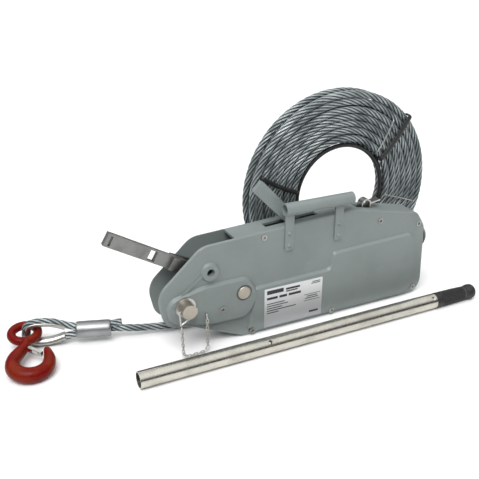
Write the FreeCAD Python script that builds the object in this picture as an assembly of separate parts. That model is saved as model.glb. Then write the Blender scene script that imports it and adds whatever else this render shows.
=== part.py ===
import FreeCAD, Part
import math
import os

V = FreeCAD.Vector
Rotation = FreeCAD.Rotation
Placement = FreeCAD.Placement

# Wire rope puller, millimetres. X runs along the casing from the anchor end (-X) to the rope inlet (+X),
# Y across it, Z up. Sizes below are measured from the main shaft's foot; at the end everything moves so
# that the origin is the middle of the casing's flat base.

# ---- casing -------------------------------------------------------------------------------------
HALF_WIDTH = 30.0          # flat side of each shell
WALL = 5.0                 # shell wall
SEAM_Y = -6.0              # joint plane between the two shells
EDGE_RADIUS = 4.0          # rounded outer rim of each shell
CASING_LENGTH = 466.0      # from the main shaft to the rear end
CASING_TOP = 240.0         # highest point of the casing
REAR_TOP = 204.0           # casing height at the rear shoulder
FRONT_TOP = 223.0          # casing height above the mouth
NOSE_X = -184.0            # front corner of the nose
BASE_MIDDLE = 220.0        # from the main shaft to the middle of the flat base
PANEL_RISE = 6.0           # raised lower panel
NOSE_RISE = 8.0            # raised plate around anchor pin and main shaft
DRAFT = 6.0                # slope of the raised edges
MOUTH_END = -15.0          # end of the open top at the lever

# ---- fits ---------------------------------------------------------------------------------------
RUNNING = 0.05             # radial, shafts in their bushes
LOOSE = 0.4                # free gaps between parts that slide
SEAT = 0.3                 # parts that rest near each other on different bodies

# ---- main shaft and forward lever ----------------------------------------------------------------
SHAFT_Z = 108.0
SHAFT_R = 14.0
SHAFT_HALF = 40.0
BUSH_WALL = 3.5
LEVER_ANGLE = 149.5        # direction of the lever stub at rest, degrees from +X
LEVER_LENGTH = 309.0
STUB_HEIGHT = 27.0
STUB_THICK = 12.0
FORK_INNER = 9.5           # the fork straddles the rope
FORK_OUTER = 14.0
FORK_LENGTH = 168.0
HUB_R = 26.0
LEVER_SWING_MIN = -13.0
LEVER_SWING_MAX = 42.0
CRANK_R = 34.0
CRANK_INNER = 14.2
CRANK_OUTER = 18.8
CRANK_PIN_R = 7.0
CRANK_PIN_END = 24.6

# ---- rope line and jaws --------------------------------------------------------------------------
ROPE_R = 8.0
ROPE_Z = 135.0
JAW_GAP = 8.3              # half the space between open jaws
JAW_LENGTH = 84.0
JAW_HALF = 12.2
JAW_HEIGHT = 15.0
JAW_TRAVEL = 2.0
FRAME_LENGTH = 100.0
FRAME_INNER = 12.6
FRAME_OUTER = 16.5
FRAME_PLATE = 8.0
FRONT_FRAME_X = 72.0
REAR_FRAME_X = 232.0
LINK_INNER = 19.2
LINK_OUTER = 24.4
LINK_HALF = 12.0
GUIDE_BORE = 12.5
GUIDE_R = 27.0
GUIDE_NOSE = 7.0           # how far the rear guide stands out of the casing

# ---- reverse lever -------------------------------------------------------------------------------
REVERSE_X = 150.0
REVERSE_Z = 208.0
REVERSE_ANGLE = 133.4
REVERSE_LENGTH = 151.0
REVERSE_WIDTH = STUB_HEIGHT  # the handle fits both stubs
REVERSE_THICK = STUB_THICK
REVERSE_SHAFT_R = 9.0
REVERSE_HUB_R = 15.0
REVERSE_HUB_HALF = 17.5
REVERSE_BOSS_R = 16.0
SLOT_START = 62.0
SLOT_END = 186.0
SLOT_HALF = 9.0

# ---- release lever -------------------------------------------------------------------------------
RELEASE_X = 297.0          # front leg of the release lever
RELEASE_HALF = 8.5         # half its width
RELEASE_SPAN = 24.0
RELEASE_SHEET = 3.0
RELEASE_TOP = 237.0        # spring line of its arch
RELEASE_TRAVEL = 12.0

# ---- anchor pin ----------------------------------------------------------------------------------
ANCHOR_X = -129.0
ANCHOR_Z = 107.0
ANCHOR_R = 15.0
ANCHOR_NEAR = 64.0
ANCHOR_HEAD_R = 20.0
ANCHOR_HEAD = 10.0
WASHER_R = 21.0
WASHER_THICK = 4.0
CLIP_WIRE_R = 1.8
CLIP_HOLE_R = 2.4
CLIP_Y = -54.0
CLIP_DROP = 2 * ANCHOR_R

# ---- carrying handle -----------------------------------------------------------------------------
CARRY_R = 13.0
CARRY_BORE = 10.5
CARRY_Z = 270.0
CARRY_X = (93.0, 254.0)
STRAP_X = (105.0, 224.0)
STRAP_WIDTH = 20.0
STRAP_THICK = 4.0
STRAP_FOOT = 180.0
RIVET_R = 4.5
RIVET_Z = (190.0, 217.0)

# ---- screws, boss and label ----------------------------------------------------------------------
SCREWS = [(-48.5, 81.0), (20.0, 13.0), (48.5, 217.0), (334.0, 202.0), (441.0, 176.0), (443.0, 16.0), (216.0, 13.0)]
SCREW_R = 4.0
SCREW_HEAD_R = 6.5
SCREW_HEAD = 5.0
SCREW_COLUMN = 9.0
BOSS_X = -71.6
BOSS_Z = 167.0
BOSS_R = 19.0
BOSS_BORE = 8.0
LABEL_X = (48.0, 188.0)
LABEL_Z = (12.0, 102.0)
LABEL_THICK = 0.6

# ---- operating handle ----------------------------------------------------------------------------
TUBE_R = 17.0
SOCKET_BORE = 15.0          # the open end, which slips over a lever of the puller
SOCKET_DEPTH = 215.0
TUBE_BORE = 14.4
TUBE_X = (-253.0, 440.0)
TUBE_Y = -107.0
INNER_R = 14.1
INNER_BORE = 12.1
INNER_START = -30.0
GRIP_LENGTH = 113.0
GRIP_R = 17.5
GRIP_END_R = 18.5
BUTTON_X = 20.0
BUTTON_R = 4.0
BUTTON_HOLE = 4.6
BUTTON_FOOT = 5.5
SPRING_LEAF = 1.0
LATCH_HOLE_X = 431.0       # where the button locks when the handle is drawn out
BUTTON_ANGLE = 40.0        # turn of the button and its holes from straight up, towards the front

# ---- rope, coil and end fitting ------------------------------------------------------------------
COIL_X = 308.0
COIL_Y = 108.0
TURN_PITCH = 16.0
TURNS_ACROSS = 7
LAYERS = 3
LAYER_PITCH = 16.2
OUTER_TURN_R = 224.0
COIL_Z = OUTER_TURN_R + ROPE_R + 0.2
TIE_THICK = 2.4
TIE_WIDTH = 9.0
RING_R = 5.0
ROPE_ROUTE = [(286, 91.8, 8.2), (226, 88, 8.3), (158, 79, 8.2), (92, 68, 8.3), (28, 60, 8.2),
              (-36, 57, 8.4), (-100, 60, 9.5), (-160, 66, 14), (-212, 73, 21), (-248, 82, 27)]
FERRULE_LENGTH = 72.0
FERRULE_R = 17.5
FERRULE_YAW = -15.0
FERRULE_RISE = 2.0
EYE_LENGTH = 107.0
EYE_HALF = 24.0
EYE_NECK = 8.1
THIMBLE_THICK = 3.0
THIMBLE_HALF = 9.5
TAIL_LENGTH = 22.0
HOOK_EYE_R = 26.0
HOOK_EYE_WIRE = 9.0
HOOK_LENGTH = 131.0
HOOK_YAW = 6.0
HOOK_LINE = [(0, 27, 8.2), (-1, 36, 10), (-7, 48, 11), (-20, 65, 13), (-30, 85, 14), (-30, 105, 15),
             (-18, 123, 15.5), (2, 131, 15.5), (22, 125, 14.5), (35, 108, 13), (38.5, 88, 11), (37.5, 70, 8),
             (36, 61, 5.5), (35.3, 58.5, 2.5)]
HOOK_LOWEST = 7            # the point of the line that lies on the floor
LATCH_PIVOT = (5.0, 54.0)
LATCH_TIP = (26.0, 75.0)
LATCH_HALF = 3.5
LATCH_EAR = 3.6            # half width of the ear between the latch's sides

# ---- chain ---------------------------------------------------------------------------------------
CHAIN_WIRE = 1.0
CHAIN_STRAIGHT = 5.0       # straight side of a link
CHAIN_BEND = 2.3           # radius of a link's ends, at the wire's middle
CHAIN_PITCH = CHAIN_STRAIGHT + 2 * CHAIN_BEND - 2 * CHAIN_WIRE - 0.2
STAPLE_X = -86.0
STAPLE_Z = 79.0

OUTLINE = [(CASING_LENGTH, 0, 36), (CASING_LENGTH - 7, REAR_TOP - 36, 30), (CASING_LENGTH - 30, REAR_TOP, 25),
           (262, CASING_TOP, 80), (-88, FRONT_TOP, 45), (NOSE_X, 136, 45), (-168, 62, 36), (-118, 54, 30),
           (4, 0, 30)]
PANEL = [(10, 5, 12), (CASING_LENGTH - 26, 5, 34), (CASING_LENGTH - 30, 162, 26), (212, 154, 12),
         (206, 117, 10), (24, 113, 8)]
NOSE_PLATE = [(-164, 70, 30), (-118, 60, 12), (-82, 48, 12), (12, 46, 38), (40, 98, 38), (14, 142, 26),
              (-84, 142, 30), (-170, 124, 30)]
MOUTH = [(-260, 0), (-95, 0), (-95, 85), (MOUTH_END, 150), (MOUTH_END, 320), (-260, 320)]

parts = {}


def box(x0, x1, y0, y1, z0, z1):
    """Block between two corners."""
    return Part.makeBox(x1 - x0, y1 - y0, z1 - z0, V(x0, y0, z0))


def rod(start, end, radius):
    """Round bar from one point to another."""
    start, end = V(*start), V(*end)
    return Part.makeCylinder(radius, (end - start).Length, start, end - start)


def cross_rod(x, z, radius, y0, y1):
    """Round bar along Y."""
    return rod((x, y0, z), (x, y1, z), radius)


def mirrored(shape):
    """The same shape on the other side of the middle plane."""
    return shape.mirror(V(0, 0, 0), V(0, 1, 0))


def pair(shape):
    """A shape and its mirror image, as separate solids."""
    return Part.makeCompound([shape, mirrored(shape)])


def fuse(shapes):
    """One solid from several that overlap."""
    return shapes[0].fuse(shapes[1:]).removeSplitter() if len(shapes) > 1 else shapes[0]


def rounded_wire(corners, y):
    """Closed outline at height y across, from (x, z, radius) corners, with arcs at the corners."""
    count = len(corners)
    edges, ends = [], []
    for i, (x, z, radius) in enumerate(corners):
        here = V(x, y, z)
        before = V(corners[i - 1][0], y, corners[i - 1][1])
        after = V(corners[(i + 1) % count][0], y, corners[(i + 1) % count][1])
        to_before, to_after = (before - here).normalize(), (after - here).normalize()
        half = to_before.getAngle(to_after) / 2
        reach = radius / math.tan(half)
        middle = (to_before + to_after).normalize()
        centre_distance = radius / math.sin(half)
        first, last = here + to_before * reach, here + to_after * reach
        edges.append(Part.Arc(first, here + middle * (centre_distance - radius), last).toShape())
        ends.append((first, last))
    for i in range(count):
        start, end = ends[i][1], ends[(i + 1) % count][0]
        edges.insert(2 * i + 1, Part.LineSegment(start, end).toShape())
    return Part.Wire(edges)


def inset(corners, distance):
    """The outline moved inwards by a distance; corners run anticlockwise seen from the front."""
    count, result = len(corners), []
    for i, (x, z, radius) in enumerate(corners):
        bx, bz = corners[i - 1][:2]
        ax, az = corners[(i + 1) % count][:2]
        in_length, out_length = math.hypot(x - bx, z - bz), math.hypot(ax - x, az - z)
        n1 = ((bz - z) / in_length, (x - bx) / in_length)
        n2 = ((z - az) / out_length, (ax - x) / out_length)
        share = distance / (1 + n1[0] * n2[0] + n1[1] * n2[1])
        convex = n1[0] * n2[1] - n1[1] * n2[0] > 0
        new_radius = max(radius - distance, 1.0) if convex else radius + distance
        result.append((x + (n1[0] + n2[0]) * share, z + (n1[1] + n2[1]) * share, new_radius))
    return result


def plate(corners, y0, y1):
    """Flat plate with a rounded outline."""
    return Part.Face(rounded_wire(corners, y0)).extrude(V(0, y1 - y0, 0))


def sharp_plate(points, y0, y1):
    """Flat plate with a straight-sided outline."""
    wire = Part.makePolygon([V(x, y0, z) for x, z in points + points[:1]])
    return Part.Face(wire).extrude(V(0, y1 - y0, 0))


def raised(corners, y0, y1, draft):
    """Raised pad whose sides slope inwards as it rises."""
    wires = [rounded_wire(corners, y0), rounded_wire(inset(corners, draft), y1)]
    return Part.makeLoft(wires, True, True)


def round_rim(solid, y, radius):
    """Rounds the rim of a plate on the plane at y."""
    rim = [e for e in solid.Edges if abs(e.BoundBox.YMin - y) < 1e-6 and abs(e.BoundBox.YMax - y) < 1e-6]
    return solid.makeFillet(radius, rim)


def turned(shape, x, z, degrees):
    """Turns a shape about the Y line through (x, z), anticlockwise seen from the front."""
    copy = shape.copy()
    copy.rotate(V(x, 0, z), V(0, 1, 0), -degrees)
    return copy


def top_height(x):
    """Height of the casing's top between the mouth and the rear shoulder."""
    if x < 262:
        return FRONT_TOP + (CASING_TOP - FRONT_TOP) * (x + 88) / 350
    return CASING_TOP + (REAR_TOP - CASING_TOP) * (x - 262) / (CASING_LENGTH - 30 - 262)


# ---- casing shells -------------------------------------------------------------------------------
def shell(side):
    """One casing half; side is -1 for the near shell and 1 for the far one."""
    outer = side * HALF_WIDTH
    inner = side * (HALF_WIDTH - WALL)
    body = round_rim(plate(OUTLINE, SEAM_Y, outer), outer, EDGE_RADIUS)
    cavity = plate(inset(OUTLINE, WALL), SEAM_Y - side, inner)
    body = body.cut(cavity)
    columns = [cross_rod(x, z, SCREW_COLUMN, SEAM_Y, outer - side) for x, z in SCREWS[1:]]
    envelope = plate(inset(OUTLINE, 0.5), SEAM_Y, outer - side)
    columns = [column.common(envelope) for column in columns]
    reverse_boss = cross_rod(REVERSE_X, REVERSE_Z, REVERSE_BOSS_R, side * (REVERSE_HUB_HALF + LOOSE), outer - side)
    release_rail = box(238, 380, *sorted((side * (RELEASE_HALF + 2), outer - side)), 176 - LOOSE - 4, 176 - LOOSE)
    body = fuse([body, reverse_boss, release_rail] + columns)
    body = body.cut(sharp_plate(MOUTH, -(HALF_WIDTH - WALL), HALF_WIDTH - WALL))
    root = outer - 2 * side
    panel = raised(PANEL, root, outer + side * PANEL_RISE, DRAFT)
    nose = raised(NOSE_PLATE, root, outer + side * NOSE_RISE, DRAFT)
    boss = Part.makeCone(BOSS_R + 3, BOSS_R - 2, abs(outer + side * PANEL_RISE - root), V(BOSS_X, root, BOSS_Z),
                         V(0, side, 0))
    web = turned(box(BOSS_X - 78, BOSS_X, *sorted((root, outer + side * 3)), BOSS_Z + 4, BOSS_Z + 9),
                 BOSS_X, BOSS_Z, 38)
    body = fuse([body, panel, nose, boss, web])
    nose_collar = cross_rod(0, SHAFT_Z, SHAFT_R + BUSH_WALL + 5, inner, outer)
    body = body.fuse(nose_collar)
    far = side * 70
    holes = [cross_rod(0, SHAFT_Z, SHAFT_R + BUSH_WALL, SEAM_Y if side < 0 else 0, far),
             cross_rod(ANCHOR_X, ANCHOR_Z, ANCHOR_R + RUNNING, 0, far),
             cross_rod(BOSS_X, BOSS_Z, BOSS_BORE, 0, far),
             cross_rod(REVERSE_X, REVERSE_Z, REVERSE_SHAFT_R + RUNNING, 0, side * (HALF_WIDTH - 2)),
             rod((CASING_LENGTH - 40, 0, ROPE_Z), (CASING_LENGTH + 20, 0, ROPE_Z), GUIDE_R - 5),
             box(SLOT_START, SLOT_END, -SLOT_HALF, SLOT_HALF, 219, 260),
             box(RELEASE_X - RELEASE_TRAVEL - 4, RELEASE_X + RELEASE_SPAN + 4, -SLOT_HALF - 1, SLOT_HALF + 1,
                 216, 260)]
    if side < 0:
        for x, z in SCREWS:
            seat = face_level(x, z)
            holes.append(cross_rod(x, z, SCREW_R + 0.15, SEAM_Y + 1, -70))
            holes.append(cross_rod(x, z, SCREW_HEAD_R + 0.3, -seat + SCREW_HEAD - 1, -70))
    else:
        holes += [cross_rod(x, z, SCREW_R + 0.15, SEAM_Y - 1, HALF_WIDTH - 6) for x, z in SCREWS[1:]]
    return body.cut(Part.makeCompound(holes))


def face_level(x, z):
    """How far out the near side stands where a screw sits."""
    if x < 14 and z < 142:
        return HALF_WIDTH + NOSE_RISE
    return HALF_WIDTH + (PANEL_RISE if z < 110 and x < CASING_LENGTH - 36 else 0)


def make_casing():
    parts["near_shell"] = shell(-1)
    parts["far_shell"] = shell(1)
    screws = []
    for x, z in SCREWS:
        seat = face_level(x, z)
        shank_end = HALF_WIDTH - 8 if x > -40 else -HALF_WIDTH + WALL + 1
        head = cross_rod(x, z, SCREW_HEAD_R, -seat - 1, -seat + SCREW_HEAD - 1)
        socket = Part.makeCylinder(3.2, 3, V(x, -seat - 1, z), V(0, 1, 0))
        screws.append(head.fuse(cross_rod(x, z, SCREW_R, -seat + SCREW_HEAD - 2, shank_end)).cut(socket))
    parts["casing_screws"] = Part.makeCompound(screws)
    bush = cross_rod(0, SHAFT_Z, SHAFT_R + BUSH_WALL, HALF_WIDTH - WALL, HALF_WIDTH + NOSE_RISE)
    parts["shaft_bushes"] = pair(bush.cut(cross_rod(0, SHAFT_Z, SHAFT_R + RUNNING, 0, 70)))
    start, end = CASING_LENGTH - WALL - 9, CASING_LENGTH + GUIDE_NOSE
    guide = rod((start, 0, ROPE_Z), (end, 0, ROPE_Z), GUIDE_R - 5)
    collar = Part.makeCone(GUIDE_R + 1, GUIDE_R - 6, GUIDE_NOSE, V(CASING_LENGTH - 0.1, 0, ROPE_Z), V(1, 0, 0))
    guide = guide.fuse(collar).cut(rod((start - 1, 0, ROPE_Z), (end + 1, 0, ROPE_Z), GUIDE_BORE))
    mouth = Part.makeCone(GUIDE_BORE, GUIDE_BORE + 4, 5, V(end - 4, 0, ROPE_Z), V(1, 0, 0))
    parts["rear_rope_guide"] = guide.cut(mouth)
    inside, tongue = HALF_WIDTH - WALL, FORK_INNER - 0.7
    bridge = box(-92, -76, -inside, inside, 90, 107)
    parts["front_rope_guide"] = bridge.fuse(box(-92, -76, -tongue, tongue, 107, ROPE_Z - ROPE_R - 0.5))
    surface = -(HALF_WIDTH + PANEL_RISE)
    parts["data_label"] = box(*LABEL_X, surface - LABEL_THICK, surface, *LABEL_Z)


# ---- anchor pin, clip and chain ------------------------------------------------------------------
def wire_path(points, radius):
    """Bent wire through points, with ball corners."""
    pieces = [rod(a, b, radius) for a, b in zip(points, points[1:])]
    pieces += [Part.makeSphere(radius, V(*p)) for p in points[1:-1]]
    return fuse(pieces)


def chain_link():
    """One oval link with its long axis along X."""
    half, bend = CHAIN_STRAIGHT / 2, CHAIN_BEND
    top = Part.LineSegment(V(-half, bend, 0), V(half, bend, 0)).toShape()
    right = Part.Arc(V(half, bend, 0), V(half + bend, 0, 0), V(half, -bend, 0)).toShape()
    bottom = Part.LineSegment(V(half, -bend, 0), V(-half, -bend, 0)).toShape()
    left = Part.Arc(V(-half, -bend, 0), V(-half - bend, 0, 0), V(-half, bend, 0)).toShape()
    section = Part.Wire(Part.makeCircle(CHAIN_WIRE, V(0, bend, 0), V(1, 0, 0)))
    return Part.Wire([top, right, bottom, left]).makePipeShell([section], True, False)


def make_anchor():
    outer = HALF_WIDTH + NOSE_RISE
    pin = cross_rod(ANCHOR_X, ANCHOR_Z, ANCHOR_R, -ANCHOR_NEAR, outer + SEAT)
    pin = pin.fuse(cross_rod(ANCHOR_X, ANCHOR_Z, ANCHOR_HEAD_R, outer + SEAT, outer + SEAT + ANCHOR_HEAD))
    hole = rod((ANCHOR_X - 30, CLIP_Y, ANCHOR_Z), (ANCHOR_X + 30, CLIP_Y, ANCHOR_Z), CLIP_HOLE_R)
    parts["anchor_pin"] = pin.cut(hole)
    washer = cross_rod(ANCHOR_X, ANCHOR_Z, WASHER_R, -outer - WASHER_THICK, -outer)
    parts["anchor_washer"] = washer.cut(cross_rod(ANCHOR_X, ANCHOR_Z, ANCHOR_R + SEAT, -70, 0))
    reach = ANCHOR_R + 3
    low = (ANCHOR_X - reach + 2, CLIP_Y, ANCHOR_Z - CLIP_DROP)
    parts["pin_clip"] = wire_path([(ANCHOR_X - 5, CLIP_Y, ANCHOR_Z), (ANCHOR_X - reach, CLIP_Y, ANCHOR_Z), low,
                                   (ANCHOR_X + reach, CLIP_Y, ANCHOR_Z - CLIP_DROP / 3), (ANCHOR_X + reach, CLIP_Y, ANCHOR_Z),
                                   (ANCHOR_X + 5, CLIP_Y, ANCHOR_Z)], CLIP_WIRE_R)
    staple_y = -outer
    parts["chain_staple"] = wire_path([(STAPLE_X, staple_y, STAPLE_Z - 4), (STAPLE_X, staple_y - 7, STAPLE_Z - 4),
                                       (STAPLE_X, staple_y - 7, STAPLE_Z + 4), (STAPLE_X, staple_y, STAPLE_Z + 4)],
                                      1.6)
    top = V(low[0] + 1, CLIP_Y - 1, low[2] - 5)
    route = [top, V(top.x + 2, top.y, 12), V(top.x + 11, top.y + 1, 3.2), V(STAPLE_X - 12, -52, 3.2),
             V(STAPLE_X - 2, -51, 11), V(STAPLE_X, staple_y - 9, STAPLE_Z - 7)]
    lengths = [(b - a).Length for a, b in zip(route, route[1:])]
    count = round(sum(lengths) / CHAIN_PITCH)
    links = []
    for k in range(count):
        distance, leg = (k + 0.5) * sum(lengths) / count, 0
        while distance > lengths[leg]:
            distance -= lengths[leg]
            leg += 1
        along = (route[leg + 1] - route[leg]).normalize()
        turn = Rotation(V(1, 0, 0), along).multiply(Rotation(V(1, 0, 0), 45 + 90 * (k % 2)))
        link = chain_link()
        link.Placement = Placement(route[leg] + along * distance, turn)
        links.append(link)
    parts["retaining_chain"] = Part.makeCompound(links)


# ---- forward lever and its crank -----------------------------------------------------------------
def make_forward_lever():
    half = STUB_HEIGHT / 2
    bar = box(FORK_LENGTH - 30, LEVER_LENGTH, -STUB_THICK / 2, STUB_THICK / 2, -half, half)
    root = box(FORK_LENGTH - 30, FORK_LENGTH, -FORK_OUTER, FORK_OUTER, -half, half)
    cheek_outline = [(0, -HUB_R), (FORK_LENGTH, -half), (FORK_LENGTH, half), (0, HUB_R)]
    cheek = sharp_plate(cheek_outline, FORK_INNER, FORK_OUTER).fuse(cross_rod(0, 0, HUB_R, FORK_INNER, FORK_OUTER))
    lever = fuse([bar, root, cheek, mirrored(cheek)])
    lever = lever.cut(cross_rod(0, 0, SHAFT_R, -70, 70))
    lever = lever.cut(box(200, 216, -20, 20, -half + 3, half - 3))
    lever = lever.cut(box(297, 302, -20, 20, -half + 3.5, half - 3.5))
    lever = turned(lever, 0, 0, LEVER_ANGLE)
    lever.translate(V(0, 0, SHAFT_Z))
    parts["forward_lever"] = lever
    shaft = cross_rod(0, SHAFT_Z, SHAFT_R, -SHAFT_HALF, SHAFT_HALF)
    ends = [e for e in shaft.Edges if abs(abs(e.CenterOfMass.y) - SHAFT_HALF) < 1e-6]
    parts["main_shaft"] = shaft.makeChamfer(1.0, ends)
    middle_swing = (LEVER_SWING_MIN + LEVER_SWING_MAX) / 2
    arm = fuse([cross_rod(0, 0, HUB_R, CRANK_INNER, CRANK_OUTER),
                box(-11, 11, CRANK_INNER, CRANK_OUTER, -CRANK_R, CRANK_R),
                cross_rod(0, CRANK_R, 11, CRANK_INNER, CRANK_OUTER),
                cross_rod(0, -CRANK_R, 11, CRANK_INNER, CRANK_OUTER)])
    arm = arm.cut(Part.makeCompound([cross_rod(0, z, r, 0, 70) for z, r in
                                     ((0, SHAFT_R), (CRANK_R, CRANK_PIN_R), (-CRANK_R, CRANK_PIN_R))]))
    pins = Part.makeCompound([cross_rod(0, z, CRANK_PIN_R, CRANK_INNER, CRANK_PIN_END) for z in (CRANK_R, -CRANK_R)])
    shear = [(20, 0), (-20, 0)]
    shear_holes = Part.makeCompound([cross_rod(x, z, 2.5, FORK_INNER, CRANK_OUTER) for x, z in shear])
    arm = arm.cut(shear_holes)
    for name, shape in (("crank_plates", arm), ("crank_pins", pins), ("shear_pins", shear_holes)):
        shape = turned(pair(shape), 0, 0, middle_swing)
        shape.translate(V(0, 0, SHAFT_Z))
        parts[name] = shape
    parts["forward_lever"] = parts["forward_lever"].cut(parts["shear_pins"])


# ---- jaw carriages -------------------------------------------------------------------------------
def crank_eye(sign):
    """Slotted link end around a crank pin; sign is 1 for the upper pin and -1 for the lower one."""
    middle = math.radians((LEVER_SWING_MIN + LEVER_SWING_MAX) / 2)
    half_swing = math.radians((LEVER_SWING_MAX - LEVER_SWING_MIN) / 2)
    pin_x = -sign * CRANK_R * math.sin(middle)
    inner, outer = CRANK_R * math.cos(half_swing), CRANK_R
    gap = CRANK_PIN_R + 1.2
    low, high = sorted((SHAFT_Z + sign * inner - sign * gap, SHAFT_Z + sign * outer + sign * gap))
    return pin_x, box(pin_x - gap, pin_x + gap, 0, 70, low, high)


def make_carriage(name, x, sign):
    """Frame, links and two jaws on the rope line, starting at x."""
    half_height = JAW_GAP + JAW_HEIGHT + JAW_TRAVEL + 0.5
    top = ROPE_Z + half_height + FRAME_PLATE
    bottom = ROPE_Z - half_height - FRAME_PLATE
    frame = box(x, x + FRAME_LENGTH, -FRAME_OUTER, FRAME_OUTER, bottom, top)
    space = box(x + FRAME_PLATE - LOOSE, x + FRAME_LENGTH - FRAME_PLATE + LOOSE, -FRAME_INNER, FRAME_INNER,
                bottom + FRAME_PLATE, top - FRAME_PLATE)
    frame = frame.cut(space).cut(rod((x - 1, 0, ROPE_Z), (x + FRAME_LENGTH + 1, 0, ROPE_Z), GUIDE_BORE))
    pin_x, eye = crank_eye(sign)
    link_z = SHAFT_Z + sign * CRANK_R
    strap = box(pin_x - 18, x + 24, LINK_INNER, LINK_OUTER, link_z - LINK_HALF, link_z + LINK_HALF)
    if sign < 0:
        strap = strap.fuse(box(x, x + 24, LINK_INNER, LINK_OUTER, link_z - LINK_HALF, ROPE_Z))
    boss = cross_rod(x + 12, ROPE_Z - 10, 9, FRAME_OUTER, LINK_INNER + 1)
    parts[name + "_carriage"] = frame
    parts[name + "_links"] = pair(fuse([strap, boss]).cut(eye))
    for jaw, direction in (("upper", 1), ("lower", -1)):
        near, far = ROPE_Z + direction * JAW_GAP, ROPE_Z + direction * (JAW_GAP + JAW_HEIGHT)
        block = box(x + FRAME_PLATE, x + FRAME_PLATE + JAW_LENGTH, -JAW_HALF, JAW_HALF, *sorted((near, far)))
        groove = rod((x, 0, ROPE_Z + direction * (JAW_TRAVEL + 1.0)), (x + 120, 0, ROPE_Z + direction * (JAW_TRAVEL + 1.0)),
                     ROPE_R)
        parts["%s_%s_jaw" % (name, jaw)] = block.cut(groove)


# ---- reverse and release levers ------------------------------------------------------------------
def make_reverse_lever():
    half = REVERSE_WIDTH / 2
    bar = box(0, REVERSE_LENGTH, -REVERSE_THICK / 2, REVERSE_THICK / 2, -half, half)
    ends = [e for e in bar.Edges if e.Length < REVERSE_THICK + 1 and abs(e.CenterOfMass.x - REVERSE_LENGTH) < 1e-6]
    bar = bar.makeFillet(3.0, [e for e in ends if abs(e.CenterOfMass.y) < 1e-6])
    hub = cross_rod(0, 0, REVERSE_HUB_R, -REVERSE_HUB_HALF, REVERSE_HUB_HALF)
    lever = fuse([bar, hub, cross_rod(0, 0, half + 2, -REVERSE_THICK / 2, REVERSE_THICK / 2)])
    lever = turned(lever.cut(cross_rod(0, 0, REVERSE_SHAFT_R, -70, 70)), 0, 0, REVERSE_ANGLE)
    lever.translate(V(REVERSE_X, 0, REVERSE_Z))
    parts["reverse_lever"] = lever
    parts["reverse_shaft"] = cross_rod(REVERSE_X, REVERSE_Z, REVERSE_SHAFT_R, -(HALF_WIDTH - 2) + 0.2,
                                       HALF_WIDTH - 2 - 0.2)


def make_release_lever():
    right = RELEASE_X + RELEASE_SPAN
    bar = box(240, 366, -RELEASE_HALF, RELEASE_HALF, 176, 182)
    wings = [box(240, 366, -RELEASE_HALF - 8, RELEASE_HALF + 8, 176, 179)]
    neck = box(RELEASE_X, right, -RELEASE_HALF, RELEASE_HALF, 180, RELEASE_TOP)
    middle_x, radius = RELEASE_X + RELEASE_SPAN / 2, RELEASE_SPAN / 2
    arch = cross_rod(middle_x, RELEASE_TOP, radius, -RELEASE_HALF, RELEASE_HALF)
    hollow = cross_rod(middle_x, RELEASE_TOP, radius - RELEASE_SHEET, -20, 20)
    window = box(RELEASE_X + RELEASE_SHEET, right - RELEASE_SHEET, -20, 20, RELEASE_TOP - 16, RELEASE_TOP)
    wing = turned(box(right - 2, right + 24, -RELEASE_HALF, RELEASE_HALF, RELEASE_TOP, RELEASE_TOP + RELEASE_SHEET),
                  right, RELEASE_TOP, 8)
    lever = fuse([bar, neck, arch] + wings).cut(hollow).cut(window)
    parts["release_lever"] = lever.fuse(wing)


# ---- carrying handle -----------------------------------------------------------------------------
def make_carrying_handle():
    y = -(HALF_WIDTH + STRAP_THICK / 2)
    tube = rod((CARRY_X[0], y, CARRY_Z), (CARRY_X[1], y, CARRY_Z), CARRY_R)
    parts["carry_tube"] = tube.cut(rod((CARRY_X[0] - 1, y, CARRY_Z), (CARRY_X[1] + 1, y, CARRY_Z), CARRY_BORE))
    rivets = []
    for name, x in zip(("front", "rear"), STRAP_X):
        strap = box(x - STRAP_WIDTH / 2, x + STRAP_WIDTH / 2, -HALF_WIDTH - STRAP_THICK, -HALF_WIDTH, STRAP_FOOT,
                    CARRY_Z)
        corners = [e for e in strap.Edges if abs(e.Length - STRAP_THICK) < 1e-6 and e.CenterOfMass.z < STRAP_FOOT + 1]
        strap = strap.makeFillet(5.0, corners)
        for z in RIVET_Z:
            strap = strap.cut(cross_rod(x, z, RIVET_R - 1.5, -70, 0))
            stem = cross_rod(x, z, RIVET_R - 1.5, -HALF_WIDTH - STRAP_THICK, -HALF_WIDTH)
            dome = Part.makeSphere(RIVET_R + 1, V(x, -HALF_WIDTH - STRAP_THICK + 2.5, z))
            dome = dome.common(cross_rod(x, z, RIVET_R + 2, -HALF_WIDTH - STRAP_THICK - 6, -HALF_WIDTH - STRAP_THICK))
            rivets.append(stem.fuse(dome))
        parts["carry_strap_" + name] = strap.cut(rod((0, y, CARRY_Z), (400, y, CARRY_Z), CARRY_R))
    parts["carry_rivets"] = Part.makeCompound(rivets)


# ---- operating handle ----------------------------------------------------------------------------
def along_tube(x0, x1, radius):
    """Round bar on the operating handle's axis."""
    return rod((x0, TUBE_Y, TUBE_R), (x1, TUBE_Y, TUBE_R), radius)


def across_tube(x, r0, r1, radius):
    """Round bar that leaves the handle's axis at the buttons' angle."""
    lean = math.radians(BUTTON_ANGLE)
    out = V(0, -math.sin(lean), math.cos(lean))
    centre = V(x, TUBE_Y, TUBE_R)
    return Part.makeCylinder(radius, r1 - r0, centre + out * r0, out)


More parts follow.
